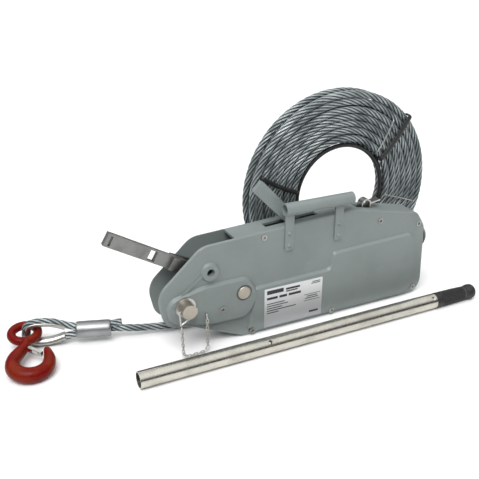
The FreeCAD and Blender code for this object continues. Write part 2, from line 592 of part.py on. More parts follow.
def make_operating_handle():
    tube = along_tube(*TUBE_X, TUBE_R).cut(along_tube(TUBE_X[0] - 1, TUBE_X[1] + 1, TUBE_BORE))
    tube = tube.cut(along_tube(TUBE_X[0] - 1, TUBE_X[0] + SOCKET_DEPTH, SOCKET_BORE))
    for x in (BUTTON_X, LATCH_HOLE_X):
        tube = tube.cut(across_tube(x, 5, 30, BUTTON_HOLE))
    parts["handle_tube"] = tube
    grip_end = TUBE_X[1] + GRIP_LENGTH
    inner = along_tube(INNER_START, grip_end - 8, INNER_R)
    inner = inner.cut(along_tube(INNER_START - 1, grip_end, INNER_BORE))
    parts["inner_tube"] = inner.cut(across_tube(BUTTON_X, 5, 30, BUTTON_R + SEAT))
    start = TUBE_X[1] + 1
    profile = [(start, INNER_R), (start, GRIP_R - 1), (start + 8, GRIP_R - 1), (start + 14, GRIP_R - 1),
               (start + 45, GRIP_R - 0.5), (grip_end - 26, GRIP_R - 2.5), (grip_end - 20, GRIP_END_R - 2.0),
               (grip_end - 8, GRIP_END_R - 1.5), (grip_end, GRIP_END_R - 6), (grip_end, 0), (grip_end - 8, 0),
               (grip_end - 8, INNER_R)]
    points = [V(x, TUBE_Y, TUBE_R + r) for x, r in profile]
    face = Part.Face(Part.makePolygon(points + points[:1]))
    parts["handle_grip"] = face.revolve(V(0, TUBE_Y, TUBE_R), V(1, 0, 0), 360)
    lean = math.radians(BUTTON_ANGLE)
    out = V(0, -math.sin(lean), math.cos(lean))
    dome = Part.makeSphere(BUTTON_R, V(BUTTON_X, TUBE_Y, TUBE_R) + out * (INNER_R - BUTTON_R))
    parts["lock_button"] = across_tube(BUTTON_X, BUTTON_FOOT, INNER_R - BUTTON_R, BUTTON_R).fuse(dome)
    leaf = box(BUTTON_X - 8, BUTTON_X + 46, -4, 4, 0, SPRING_LEAF)
    bend = box(BUTTON_X + 45, BUTTON_X + 46, -4, 4, 0, 3.0)
    spring = leaf.fuse(bend)
    spring.rotate(V(0, 0, 0), V(1, 0, 0), BUTTON_ANGLE)
    spring.translate(V(0, TUBE_Y, TUBE_R) + out * (BUTTON_FOOT - SPRING_LEAF))
    parts["button_spring"] = spring


# ---- rope ----------------------------------------------------------------------------------------
def cord_tube(points, radius):
    """Straight runs joined by tangent arcs; also gives the arcs' radii and the length."""
    points = [V(*p) for p in points]
    edges, radii, start, length = [], [], points[0], 0.0
    for before, here, after in zip(points, points[1:], points[2:]):
        to_before, to_after = (before - here), (after - here)
        shorter = min(to_before.Length, to_after.Length)
        turn = math.pi - to_before.getAngle(to_after)
        arc_radius = 0.45 * shorter / math.tan(turn / 2)
        reach = 0.45 * shorter
        to_before.normalize()
        to_after.normalize()
        middle = (to_before + to_after).normalize()
        first, last = here + to_before * reach, here + to_after * reach
        depth = arc_radius / math.cos(turn / 2) - arc_radius
        edges.append(Part.LineSegment(start, first).toShape())
        edges.append(Part.Arc(first, here + middle * depth, last).toShape())
        radii.append(round(arc_radius))
        start = last
    edges.append(Part.LineSegment(start, points[-1]).toShape())
    length = sum(e.Length for e in edges)
    section = Part.Wire(Part.makeCircle(radius, points[0], points[1] - points[0]))
    tube = Part.Wire(edges).makePipeShell([section], True, False)
    return tube, radii, length


def coil_sector(r0, r1, y0, y1, start, sweep):
    """Sector of a ring around the coil's axis, in degrees from +X."""
    corners = [V(r0, y0, 0), V(r1, y0, 0), V(r1, y1, 0), V(r0, y1, 0)]
    face = Part.Face(Part.makePolygon(corners + corners[:1]))
    face.rotate(V(0, 0, 0), V(0, 1, 0), -start)
    ring = face.revolve(V(0, 0, 0), V(0, 1, 0), -sweep)
    ring.translate(V(COIL_X, COIL_Y, COIL_Z))
    return ring


def make_rope():
    tube, radii, length = cord_tube(ROPE_ROUTE, ROPE_R)
    parts["rope_lead"] = tube
    print("rope lead arc radii", radii)
    print("rope lead length %.1f volume ratio %.4f" % (length, tube.Volume / (math.pi * ROPE_R ** 2 * length)))
    inner = OUTER_TURN_R - (TURNS_ACROSS - 1) * TURN_PITCH - ROPE_R
    outer = OUTER_TURN_R + ROPE_R
    half = (LAYERS - 1) / 2 * LAYER_PITCH + ROPE_R
    coil = coil_sector(inner, outer, -half, half, 0, 360)
    parts["rope_coil"] = coil
    for name, angle in (("left", 156), ("right", 43)):
        width = math.degrees(TIE_WIDTH / ((inner + outer) / 2))
        band = coil_sector(inner - TIE_THICK, outer + TIE_THICK, -half - TIE_THICK, half + TIE_THICK,
                           angle - width / 2, width)
        band = band.cut(coil_sector(inner, outer, -half, half, angle - 10, 20))
        if name == "right":
            tail = coil_sector(outer + TIE_THICK - 0.5, outer + 24, -half, -half + 2, angle - width / 3, width * 0.6)
            band = band.fuse(tail)
        parts["coil_tie_" + name] = band
    ring = Part.makeTorus(inner - RING_R - 3.0, RING_R, V(COIL_X, COIL_Y - half / 2, COIL_Z - 2.6), V(0, 1, 0))
    parts["coil_ring"] = ring
    return Placement(V(*ROPE_ROUTE[-1]), Rotation(V(0, 0, 1), FERRULE_YAW).multiply(
        Rotation(V(0, 1, 0), FERRULE_RISE)))


def make_rope_end(end):
    """Ferrule, eye, thimble and dead end; the local -X axis leads away from the rope."""
    ferrule = rod((0, 0, 0), (-FERRULE_LENGTH, 0, 0), FERRULE_R)
    rims = [e for e in ferrule.Edges if e.Length > 50 and e.Closed]
    ferrule = ferrule.makeFillet(3.0, rims)
    legs = []
    for z in (1, -1):
        legs.append(rod((-FERRULE_LENGTH + 14, 0, z * EYE_NECK), (-FERRULE_LENGTH - 1, 0, z * EYE_NECK), ROPE_R))
    crown = -FERRULE_LENGTH - EYE_LENGTH + ROPE_R
    start, neck = -FERRULE_LENGTH + 14, -FERRULE_LENGTH - 4
    up, down = EYE_HALF, -EYE_HALF
    bend = EYE_HALF - 0.5
    corners = [(start, EYE_NECK, 0), (neck, EYE_NECK, 0), (crown + 40, up, 0), (crown, up, bend), (crown, down, bend),
               (crown + 40, down, 0), (neck, -EYE_NECK, 0), (start, -EYE_NECK, 0)]
    path = [V(x, 0, z) for x, z, _ in corners]
    eye, radii, _ = rounded_tube(path, ROPE_R, bend)
    print("rope eye arc radii", radii)
    inside = ROPE_R + SEAT
    outline = [(neck - 26, -EYE_NECK - 5 + inside, 2.5), (neck - 26, EYE_NECK + 5 - inside, 2.5),
               (crown + 40, up - inside, 60), (crown + inside, up - inside, bend - inside),
               (crown + inside, down + inside, bend - inside), (crown + 40, down + inside, 60)]
    thimble = plate(outline, -THIMBLE_HALF, THIMBLE_HALF)
    thimble = thimble.cut(plate(inset(outline, THIMBLE_THICK), -20, 20))
    tail = rod((0, 2, 7), (TAIL_LENGTH, 3, 10), ROPE_R - 0.2)
    bore = fuse([rod((-FERRULE_LENGTH - 1, 0, z), (-FERRULE_LENGTH + 14, 0, z), ROPE_R) for z in (EYE_NECK, -EYE_NECK)])
    tail = tail.cut(rod((-1, 0, 0), (60, 0, 0), ROPE_R + 0.1))
    tail = tail.common(box(0, 60, -30, 30, -30, 30))
    for name, shape in (("ferrule", ferrule.cut(bore)), ("rope_eye", eye), ("thimble", thimble), ("rope_tail", tail)):
        shape.Placement = end.multiply(shape.Placement)
        parts[name] = shape
    parts["rope_tail"] = parts["rope_tail"].cut(parts["rope_lead"])
    corner = ROPE_R + SEAT + THIMBLE_THICK
    hole = HOOK_EYE_R - HOOK_EYE_WIRE - 2.5 * SEAT
    return end.multVec(V(crown + corner - math.sqrt(hole ** 2 - THIMBLE_HALF ** 2), 0, 0))


def rounded_tube(path, radius, bend):
    """Tube along an open path; each corner is rounded as widely as its runs allow, up to the bend."""
    edges, radii, start = [], [], path[0]
    for before, here, after in zip(path, path[1:], path[2:]):
        to_before, to_after = before - here, after - here
        turn = math.pi - to_before.getAngle(to_after)
        room = min(to_before.Length, to_after.Length) * 0.49
        reach = min(bend * math.tan(turn / 2) if turn > 1 else room, room)
        arc_radius = reach / math.tan(turn / 2)
        to_before.normalize()
        to_after.normalize()
        middle = (to_before + to_after).normalize()
        depth = arc_radius / math.cos(turn / 2) - arc_radius
        first, last = here + to_before * reach, here + to_after * reach
        edges.append(Part.LineSegment(start, first).toShape())
        edges.append(Part.Arc(first, here + middle * depth, last).toShape())
        radii.append(round(arc_radius))
        start = last
    edges.append(Part.LineSegment(start, path[-1]).toShape())
    section = Part.Wire(Part.makeCircle(radius, path[0], path[1] - path[0]))
    tube = Part.Wire(edges).makePipeShell([section], True, False)
    return tube, radii, sum(e.Length for e in edges)


# ---- hook ----------------------------------------------------------------------------------------
def make_hook(eye):
    """Eye hook and its safety latch, lying on its bowl; eye is the middle of its eye."""
    drop = (eye.z - HOOK_LINE[HOOK_LOWEST][2] - SEAT) / HOOK_LENGTH
    yaw = math.radians(HOOK_YAW)
    level = math.sqrt(1 - drop ** 2)
    down = V(-math.sin(yaw) * level, -math.cos(yaw) * level, -drop)
    across = V(math.cos(yaw), -math.sin(yaw), 0)
    normal = across.cross(down)
    place = Placement(FreeCAD.Matrix(across.x, down.x, normal.x, eye.x, across.y, down.y, normal.y, eye.y,
                                     across.z, down.z, normal.z, eye.z, 0, 0, 0, 1))
    sections = []
    last = len(HOOK_LINE) - 1
    for k, (u, v, radius) in enumerate(HOOK_LINE):
        before, after = HOOK_LINE[max(k - 1, 0)], HOOK_LINE[min(k + 1, last)]
        along = V(after[0] - before[0], after[1] - before[1], 0)
        sections.append(Part.Wire(Part.makeCircle(radius, V(u, v, 0), along)))
    shank = Part.makeLoft(sections, True)
    hook = Part.makeTorus(HOOK_EYE_R, HOOK_EYE_WIRE).fuse(shank)
    px, py = LATCH_PIVOT
    ear = box(px - 12, px + 3.5, py - 3.5, py + 3.5, -3, 3)
    hook = hook.fuse(ear)
    pin = Part.makeCylinder(2.0, 14, V(px, py, -7))
    hook = hook.cut(pin)
    tx, ty = LATCH_TIP
    length = math.hypot(tx - px, ty - py)
    half = LATCH_HALF
    latch = fuse([box(0, length, -half, half, 4, 5.5), box(0, length, -half, half, -5.5, -4),
                  Part.makeCylinder(half, 1.5, V(0, 0, 4)), Part.makeCylinder(half, 1.5, V(0, 0, -5.5)),
                  box(length - 8, length, -half, half, -5.5, 5.5)])
    latch = latch.cut(Part.makeCylinder(2.0 + RUNNING, 20, V(0, 0, -10)))
    latch.rotate(V(0, 0, 0), V(0, 0, 1), math.degrees(math.atan2(ty - py, tx - px)))
    latch.translate(V(px, py, 0))
    room = Part.makeCylinder(LATCH_HALF + 0.8, 20, V(px, py, LATCH_EAR))
    hook = hook.cut(room.fuse(Part.makeCylinder(LATCH_HALF + 0.8, 20, V(px, py, -20 - LATCH_EAR))))
    for name, shape in (("hook", hook), ("hook_latch", latch), ("latch_pin", pin)):
        shape.Placement = place.multiply(shape.Placement)
        parts[name] = shape
    print("hook eye", [round(c, 2) for c in eye - V(BASE_MIDDLE, 0, 0)], "latch pivot",
          [round(c, 2) for c in place.multVec(V(px, py, 0)) - V(BASE_MIDDLE, 0, 0)],
          "normal", [round(c, 4) for c in normal])


make_casing()
make_anchor()
make_forward_lever()
make_carriage("front", FRONT_FRAME_X, 1)
make_carriage("rear", REAR_FRAME_X, -1)
make_reverse_lever()
make_release_lever()
make_carrying_handle()
make_operating_handle()
make_hook(make_rope_end(make_rope()))

os.makedirs("parts", exist_ok=True)
for node, shape in parts.items():
    shape.translate(V(-BASE_MIDDLE, 0, 0))
    if not shape.isValid():
        print("not valid:", node)
    shape.exportStep("parts/%s.step" % node)
print(len(parts), "nodes")
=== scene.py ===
"""Visual model of a hand lever wire rope puller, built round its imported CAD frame."""

from __future__ import annotations

import logging
import math
from dataclasses import dataclass, field
from enum import Enum
from typing import Any, Sequence

import bmesh
import bpy
import numpy as np
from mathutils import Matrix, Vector


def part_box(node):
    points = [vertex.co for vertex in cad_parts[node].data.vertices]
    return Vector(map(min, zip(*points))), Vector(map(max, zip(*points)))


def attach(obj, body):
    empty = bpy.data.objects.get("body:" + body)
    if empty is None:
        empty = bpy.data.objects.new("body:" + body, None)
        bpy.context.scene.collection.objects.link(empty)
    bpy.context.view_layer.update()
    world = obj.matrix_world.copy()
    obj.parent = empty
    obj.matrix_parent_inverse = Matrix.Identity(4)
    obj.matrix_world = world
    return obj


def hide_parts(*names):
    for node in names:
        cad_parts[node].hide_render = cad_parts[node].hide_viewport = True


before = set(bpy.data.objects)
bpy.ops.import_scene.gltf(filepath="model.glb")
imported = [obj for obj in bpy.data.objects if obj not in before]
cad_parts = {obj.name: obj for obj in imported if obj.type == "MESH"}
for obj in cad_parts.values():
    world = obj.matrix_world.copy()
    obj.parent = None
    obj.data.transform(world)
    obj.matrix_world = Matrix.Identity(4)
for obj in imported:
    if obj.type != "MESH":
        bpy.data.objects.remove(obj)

LOG = logging.getLogger("rope_puller")
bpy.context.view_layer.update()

SHAFT_FOOT = np.array([-0.220, 0.0, 0.0])  # the main shaft's foot, where the places below start from
ACROSS = np.array([0.0, 1.0, 0.0])
LAY = 0.104  # length of one turn of a strand, in metres
LEG_SPACING = 0.003  # distance between points along the short bars and the eye, in metres


# ---- shader building -----------------------------------------------------------------------------
class Num:
    """A number in a shader: an output socket whose operators add Math nodes."""

    def __init__(self, shader: "Shader", socket: Any) -> None:
        """Wraps a socket of the shader's node tree."""
        self.shader = shader
        self.socket = socket

    def _math(self, operation: str, *values: Any) -> "Num":
        """Adds one Math node and returns its result."""
        return self.shader.node("ShaderNodeMath", {"operation": operation}, dict(enumerate(values)))

    def __add__(self, other: Any) -> "Num":
        """Sum."""
        return self._math("ADD", self, other)

    __radd__ = __add__

    def __sub__(self, other: Any) -> "Num":
        """Difference."""
        return self._math("SUBTRACT", self, other)

    def __rsub__(self, other: Any) -> "Num":
        """Difference, the other way round."""
        return self._math("SUBTRACT", other, self)

    def __mul__(self, other: Any) -> "Num":
        """Product."""
        return self._math("MULTIPLY", self, other)

    __rmul__ = __mul__

    def __pow__(self, other: Any) -> "Num":
        """Power."""
        return self._math("POWER", self, other)

    def sine(self) -> "Num":
        """Sine of the value."""
        return self._math("SINE", self)

    def clipped(self) -> "Num":
        """The value held between 0 and 1."""
        return self.shader.node("ShaderNodeClamp", {}, {0: self})

    def between(self, low: float, high: float) -> "Num":
        """0 at low, 1 at high, and a smooth step from one to the other."""
        return self.shader.node("ShaderNodeMapRange", {"interpolation_type": "SMOOTHSTEP"},
                                {0: self, 1: low, 2: high})


class Shader:
    """Builds one node-based material."""

    def __init__(self, name: str) -> None:
        """Starts a material with one Principled shader.

        Args:
            name: the material's name.
        """
        self.material = bpy.data.materials.new(name)
        self.material.use_nodes = True
        self.tree = self.material.node_tree
        self.principled = self.tree.nodes["Principled BSDF"]

    def node(self, kind: str, settings: dict[str, Any], inputs: dict[Any, Any], output: Any = 0) -> Num:
        """Adds a node.

        Args:
            kind: the node's type.
            settings: properties to set before its sockets.
            inputs: values or links by socket name or index.
            output: name or index of the wanted output.

        Returns:
            The wanted output, wrapped.
        """
        made = self.tree.nodes.new(kind)
        for key, value in settings.items():
            setattr(made, key, value)
        for key, value in inputs.items():
            self._feed(made.inputs[key], value)
        return Num(self, made.outputs[output])

    def _feed(self, socket: Any, value: Any) -> None:
        """Links or sets one input socket.

        Args:
            socket: the input.
            value: an output to link, a colour of three numbers, or a plain value.
        """
        if isinstance(value, Num):
            self.tree.links.new(value.socket, socket)
        elif isinstance(value, tuple) and socket.type == "RGBA":
            socket.default_value = (*value, 1.0)
        else:
            socket.default_value = value

    def place(self, scale: Sequence[float] = (1, 1, 1), turn: Sequence[float] = (0, 0, 0)) -> Num:
        """Object coordinates in metres, stretched and turned.

        Args:
            scale: stretch along X, Y and Z.
            turn: angles about X, Y and Z, in radians.

        Returns:
            The coordinates.
        """
        coordinates = self.node("ShaderNodeTexCoord", {}, {}, "Object")
        return self.node("ShaderNodeMapping", {},
                         {"Vector": coordinates, "Scale": tuple(scale), "Rotation": tuple(turn)})

    def noise(self, where: Num, scale: float, detail: float = 3.0, roughness: float = 0.55) -> Num:
        """Cloudy noise between 0 and 1 whose lumps are about 1 / scale of a unit."""
        return self.node("ShaderNodeTexNoise", {},
                         {"Vector": where, "Scale": scale, "Detail": detail, "Roughness": roughness})

    def cells(self, where: Num, scale: float) -> Num:
        """Distance to the nearest of scattered points, about 1 / scale of a unit apart."""
        return self.node("ShaderNodeTexVoronoi", {"feature": "F1"}, {"Vector": where, "Scale": scale})

    def mix(self, factor: Any, first: Any, second: Any) -> Num:
        """Blends two colours.

        Args:
            factor: share of the second colour.
            first: colour at factor 0.
            second: colour at factor 1.

        Returns:
            The blended colour.
        """
        made = self.tree.nodes.new("ShaderNodeMix")
        made.data_type = "RGBA"
        self._feed(made.inputs[0], factor)
        self._feed(made.inputs[6], first)
        self._feed(made.inputs[7], second)
        return Num(self, made.outputs[2])

    def bump(self, height: Num, depth: float, strength: float) -> Num:
        """Surface relief of that depth in metres."""
        return self.node("ShaderNodeBump", {}, {"Height": height, "Distance": depth, "Strength": strength})

    def finish(self, **sockets: Any) -> bpy.types.Material:
        """Sets the Principled shader's sockets, named with underscores for spaces.

        Args:
            **sockets: values or links, such as Base_Color.

        Returns:
            The finished material.
        """
        for name, value in sockets.items():
            self._feed(self.principled.inputs[name.replace("_", " ")], value)
        return self.material


# ---- finishes ------------------------------------------------------------------------------------
Colour = tuple[float, float, float]


@dataclass(frozen=True)
class CastingPaint:
    """Satin grey enamel over a steel pressing, with a fine orange peel and faint handling marks."""

    colour: Colour = (0.196, 0.228, 0.222)
    worn: Colour = (0.285, 0.315, 0.305)
    dirt: Colour = (0.140, 0.166, 0.162)
    peel_per_metre: float = 420.0
    peel_depth: float = 0.00016

    def build(self) -> bpy.types.Material:
        """Makes the material.

        Returns:
            The material.
        """
        s = Shader("casing_enamel")
        where = s.place()
        clouds = s.noise(where, 9.0, 4.0)
        fine = s.noise(where, 160.0, 2.0)
        streaks = s.noise(s.place((5, 40, 90), (0.1, 0.3, 0.0)), 3.0, 5.0, 0.65)
        base = s.mix(clouds.between(0.35, 0.75) * 0.45, self.colour, self.dirt)
        base = s.mix(streaks.between(0.58, 0.78) * 0.30, base, self.worn)
        base = s.mix(fine.between(0.66, 0.80) * 0.22, base, self.worn)
        peel = s.noise(where, self.peel_per_metre, 2.0)
        normal = s.bump(peel, self.peel_depth, 0.55)
        rough = 0.40 + 0.16 * clouds + 0.10 * streaks
        return s.finish(Base_Color=base, Roughness=rough, Normal=normal, Coat_Weight=0.18,
                        Coat_Roughness=0.28)


@dataclass(frozen=True)
class Steel:
    """Metal with fine scratches along one direction, clouded by handling and oxide."""

    name: str
    bright: Colour
    dull: Colour
    roughness: float = 0.28
    grain: tuple[float, float, float] = (8.0, 160.0, 160.0)
    turn: tuple[float, float, float] = (0.0, 0.0, 0.0)
    stain: float = 0.35
    relief: float = 0.00008
    specks: float = 0.0

    def build(self) -> bpy.types.Material:
        """Makes the material.

        Returns:
            The material.
        """
        s = Shader(self.name)
        scratches = s.noise(s.place(self.grain, self.turn), 14.0, 4.0, 0.7)
        clouds = s.noise(s.place(), 22.0, 5.0, 0.6)
        spots = s.cells(s.place(), 260.0)
        base = s.mix(clouds.between(0.38, 0.72) * self.stain, self.bright, self.dull)
        base = s.mix(scratches.between(0.45, 0.75) * 0.30, base, self.dull)
        rough = self.roughness + 0.16 * clouds + 0.14 * scratches
        if self.specks:
            pits = 1.0 - spots.between(0.12, 0.30)
            base = s.mix(pits * clouds.between(0.45, 0.7) * self.specks, base, self.dull)
            rough = rough + pits * (0.2 * self.specks)
        normal = s.bump(scratches, self.relief, 0.5)
        return s.finish(Base_Color=base, Roughness=rough.clipped(), Normal=normal, Metallic=1.0)


@dataclass(frozen=True)
class StrandWire:
    """Galvanised strands: bright wires on the crowns, and valleys between strands and wires darkened by
    grease and painted shade.
    """

    strands: int = 6
    wires: float = 60.0
    bright: Colour = (0.60, 0.65, 0.655)
    dull: Colour = (0.25, 0.285, 0.29)
    # near-black colour standing for grease plus painted shade in the valleys and grooves
    grease_and_groove_shade: Colour = (0.022, 0.034, 0.040)

    def build(self) -> bpy.types.Material:
        """Makes the material; the UV map runs along the rope in metres and round it in strand order.

        Returns:
            The material.
        """
        s = Shader("galvanised_rope")
        uv = s.node("ShaderNodeUVMap", {"uv_map": "rope"}, {})
        along = s.node("ShaderNodeSeparateXYZ", {}, {0: uv}, 0)
        around = s.node("ShaderNodeSeparateXYZ", {}, {0: uv}, 1)
        crown = 0.5 + 0.5 * (around * (2 * math.pi * self.strands)).sine()
        wires = 0.5 + 0.5 * ((around * self.wires + along * (self.wires / LAY)) * (2 * math.pi)).sine()
        clouds = s.noise(s.place(), 30.0, 4.0)
        glints = s.noise(s.place(), 260.0, 2.0)
        base = s.mix(clouds.between(0.35, 0.7), self.bright, self.dull)
        # grease and painted shade darken the grooves between single wires
        base = s.mix(wires.between(0.0, 0.5) * -0.30 + 0.30, base, self.grease_and_groove_shade)
        # grease and painted shade darken the valleys between strands almost to black
        base = s.mix((1.0 - crown.between(0.12, 0.72)) * 0.97, base, self.grease_and_groove_shade)
        rough = (0.30 + 0.25 * clouds + 0.35 * (1.0 - crown) - 0.1 * glints).clipped()
        metal = 0.25 + 0.6 * crown.between(0.1, 0.6)
        normal = s.bump(wires, 0.00022, 0.8)
        return s.finish(Base_Color=base, Roughness=rough, Metallic=metal, Normal=normal)


@dataclass(frozen=True)
class HookEnamel:
    """Glossy red-orange dip paint, thin and brown where the forging has rubbed."""

    red: Colour = (0.135, 0.0020, 0.0008)
    orange: Colour = (0.165, 0.014, 0.0035)
    rubbed: Colour = (0.060, 0.014, 0.006)

    def build(self) -> bpy.types.Material:
        """Makes the material.

        Returns:
            The material.
        """
        s = Shader("hook_enamel")
        where = s.place()
        clouds = s.noise(where, 17.0, 4.0, 0.6)
        pits = s.noise(where, 150.0, 3.0)
        base = s.mix(clouds.between(0.40, 0.64), self.red, self.orange)
        base = s.mix(pits.between(0.56, 0.74) * clouds.between(0.44, 0.6) * 0.85, base, self.rubbed)
        normal = s.bump(s.noise(where, 90.0, 3.0), 0.0009, 0.45)
        return s.finish(Base_Color=base, Roughness=0.24 + 0.22 * pits, Normal=normal, Coat_Weight=0.02,
                        Coat_Roughness=0.08, Specular_IOR_Level=0.12)


@dataclass(frozen=True)
class Polymer:
    """Moulded black plastic or rubber, with a faint grain and grey scuffs."""

    name: str
    colour: Colour
    scuff: Colour
    roughness: float

    def build(self) -> bpy.types.Material:
        """Makes the material.

        Returns:
            The material.
        """
        s = Shader(self.name)
        where = s.place()
        clouds = s.noise(where, 60.0, 4.0)
        base = s.mix(clouds.between(0.5, 0.8) * 0.5, self.colour, self.scuff)
        normal = s.bump(s.noise(where, 1500.0, 1.0), 0.00008, 0.5)
        return s.finish(Base_Color=base, Roughness=self.roughness + 0.15 * clouds, Normal=normal)


@dataclass(frozen=True)
class LabelSheet:
    """Printed foil: a pale silver sheet that darkens a little towards its foot."""

    pale: Colour = (0.70, 0.71, 0.72)
    dark: Colour = (0.36, 0.37, 0.38)
    foot: float = 0.012
    head: float = 0.102

    def build(self) -> bpy.types.Material:
        """Makes the material.

        Returns:
            The material.
        """
        s = Shader("label_foil")
        height = s.node("ShaderNodeSeparateXYZ", {}, {0: s.place()}, 2)
        clouds = s.noise(s.place((1, 1, 6)), 40.0, 3.0)
        base = s.mix(height.between(self.foot, self.head) + 0.10 * clouds, self.dark, self.pale)
        return s.finish(Base_Color=base, Roughness=0.36 + 0.12 * clouds, Metallic=0.35)


class Finish(Enum):
    """The finishes of the puller's pieces."""

    ENAMEL = CastingPaint()
    BARE = Steel("ground_steel", (0.27, 0.275, 0.265), (0.13, 0.13, 0.12), 0.34, (10, 150, 60), (0, 0.51, 0),
                 stain=0.7, relief=0.0001, specks=0.5)
    SHAFT = Steel("turned_steel", (0.47, 0.43, 0.37), (0.33, 0.30, 0.25), 0.30, (40, 10, 40), stain=0.5)
    SCREW = Steel("screw_head", (0.42, 0.42, 0.40), (0.16, 0.16, 0.155), 0.26, (60, 60, 60), stain=0.7)
    DARK = Steel("oiled_steel", (0.16, 0.16, 0.165), (0.06, 0.06, 0.06), 0.40)
    ZINC = Steel("bright_zinc", (0.58, 0.575, 0.55), (0.32, 0.31, 0.29), 0.17, (30, 60, 60), stain=0.45)
    TUBE = Steel("plated_tube", (0.60, 0.58, 0.52), (0.24, 0.225, 0.185), 0.10, (3, 220, 220), stain=0.35,
                 specks=0.35)
    PRESSED = Steel("pressed_aluminium", (0.33, 0.34, 0.345), (0.20, 0.21, 0.215), 0.28, (14, 90, 90),
                    stain=0.6, relief=0.00018)
    BRONZE = Steel("oiled_bronze", (0.50, 0.37, 0.20), (0.24, 0.17, 0.09), 0.35)
    WIRE = StrandWire()
    HOOK = HookEnamel()
    BLACK = Polymer("black_nylon", (0.012, 0.012, 0.013), (0.05, 0.05, 0.052), 0.34)
    RUBBER = Polymer("black_grip", (0.010, 0.010, 0.011), (0.045, 0.045, 0.047), 0.42)
    FOIL = LabelSheet()
    INK = Polymer("label_ink", (0.02, 0.02, 0.022), (0.06, 0.06, 0.06), 0.45)


class Workshop:
    """Keeps one material per finish and dresses pieces with it."""

    def __init__(self) -> None:
        """Starts with no material made."""
        self.made: dict[Finish, bpy.types.Material] = {}

    def material(self, finish: Finish) -> bpy.types.Material:
        """The material of a finish, made when first asked for.

        Args:
            finish: the finish.

        Returns:
            Its material, shared by every piece with that finish.
        """
        if finish not in self.made:
            self.made[finish] = finish.value.build()
        return self.made[finish]

    def dress_node(self, node: str, finish: Finish) -> None:
        """Gives a CAD node its finish.

        Args:
            node: the node's name.
            finish: the finish.
        """
        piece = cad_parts[node]
        if not piece.material_slots:
            piece.data.materials.append(self.material(finish))
        for slot in piece.material_slots:
            slot.material = self.material(finish)

    def dress(self, piece: bpy.types.Object, finish: Finish) -> None:
        """Gives a new piece its finish.

        Args:
            piece: the piece.
            finish: the finish.
        """
        piece.data.materials.clear()
        piece.data.materials.append(self.material(finish))


SHOP = Workshop()


# ---- surfaces ------------------------------------------------------------------------------------
def unit(vectors: np.ndarray) -> np.ndarray:
    """Vectors of length 1 in the same directions."""
    return vectors / np.linalg.norm(vectors, axis=-1, keepdims=True)


def grid_piece(name: str, points: np.ndarray, around: bool = True, caps: bool = True,
               uv: np.ndarray | None = None) -> bpy.types.Object:
    """Mesh object on a grid of points: rows run along the shape, columns round it.

    Args:
        name: the piece's name.
        points: array of rows, columns, 3.
        around: whether the last column joins the first.
        caps: whether the first and last rows are closed with a fan.
        uv: array of rows, columns + 1, 2 for the rope's pattern, if it has one.

    Returns:
        The object, with smooth faces.
    """
    rows, columns = points.shape[:2]
    spans = columns if around else columns - 1
    i, j = np.meshgrid(np.arange(rows - 1), np.arange(spans), indexing="ij")
    right = (j + 1) % columns
    here, onward = i * columns, (i + 1) * columns
    quads = np.stack([here + j, here + right, onward + right, onward + j], axis=-1)
    corners = quads.reshape(-1)
    starts = np.arange(quads.shape[0] * quads.shape[1]) * 4
    vertices = points.reshape(-1, 3)
    fans = []
    if caps:
        ring = np.arange(columns)
        count = len(vertices)
        vertices = np.vstack([vertices, points[0].mean(axis=0), points[-1].mean(axis=0)])
        beside, last = (ring + 1) % columns, (rows - 1) * columns
        fans.append(np.stack([np.full(columns, count), beside, ring], axis=-1))
        fans.append(np.stack([np.full(columns, count + 1), last + ring, last + beside], axis=-1))
    for fan in fans:
        starts = np.append(starts, len(corners) + 3 * np.arange(columns))
        corners = np.append(corners, fan.reshape(-1))
    mesh = bpy.data.meshes.new(name)
    mesh.vertices.add(len(vertices))
    mesh.vertices.foreach_set("co", vertices.reshape(-1).astype(np.float32))
    mesh.loops.add(len(corners))
    mesh.loops.foreach_set("vertex_index", corners.astype(np.int32))
    mesh.polygons.add(len(starts))
    mesh.polygons.foreach_set("loop_start", starts.astype(np.int32))
    mesh.polygons.foreach_set("use_smooth", np.ones(len(starts), dtype=bool))
    mesh.update(calc_edges=True)
    mesh.validate()
    if uv is not None:
        layer = mesh.uv_layers.new(name="rope")
        spread = np.stack([uv[i, j], uv[i, j + 1], uv[i + 1, j + 1], uv[i + 1, j]], axis=2).reshape(-1, 2)
        full = np.zeros((len(mesh.loops), 2))
        full[:len(spread)] = spread
        layer.data.foreach_set("uv", full.reshape(-1).astype(np.float32))
    piece = bpy.data.objects.new(name, mesh)
    bpy.context.scene.collection.objects.link(piece)
    return piece


def box_piece(name: str, boxes: np.ndarray) -> bpy.types.Object:
    """One mesh of several blocks.

    Args:
        name: the piece's name.
        boxes: array of count, 2, 3 with each block's lowest and highest corner.

    Returns:
        The object.
    """
    pick = np.array([[x, y, z] for z in (0, 1) for y in (0, 1) for x in (0, 1)])
    sides = np.array([[0, 2, 3, 1], [4, 5, 7, 6], [0, 1, 5, 4], [2, 6, 7, 3], [0, 4, 6, 2], [1, 3, 7, 5]])
    vertices = boxes[:, pick, np.arange(3)].reshape(-1, 3)
    faces = (sides[None] + 8 * np.arange(len(boxes))[:, None, None]).reshape(-1, 4)
    mesh = bpy.data.meshes.new(name)
    mesh.from_pydata(vertices.tolist(), [], faces.tolist())
    piece = bpy.data.objects.new(name, mesh)
    bpy.context.scene.collection.objects.link(piece)
    return piece


def face_outwards(piece: bpy.types.Object) -> None:
    """Turns every face of a closed mesh outwards.

    Args:
        piece: the object whose mesh is turned.
    """
    work = bmesh.new()
    work.from_mesh(piece.data)
    bmesh.ops.recalc_face_normals(work, faces=work.faces)
    work.to_mesh(piece.data)
    work.free()


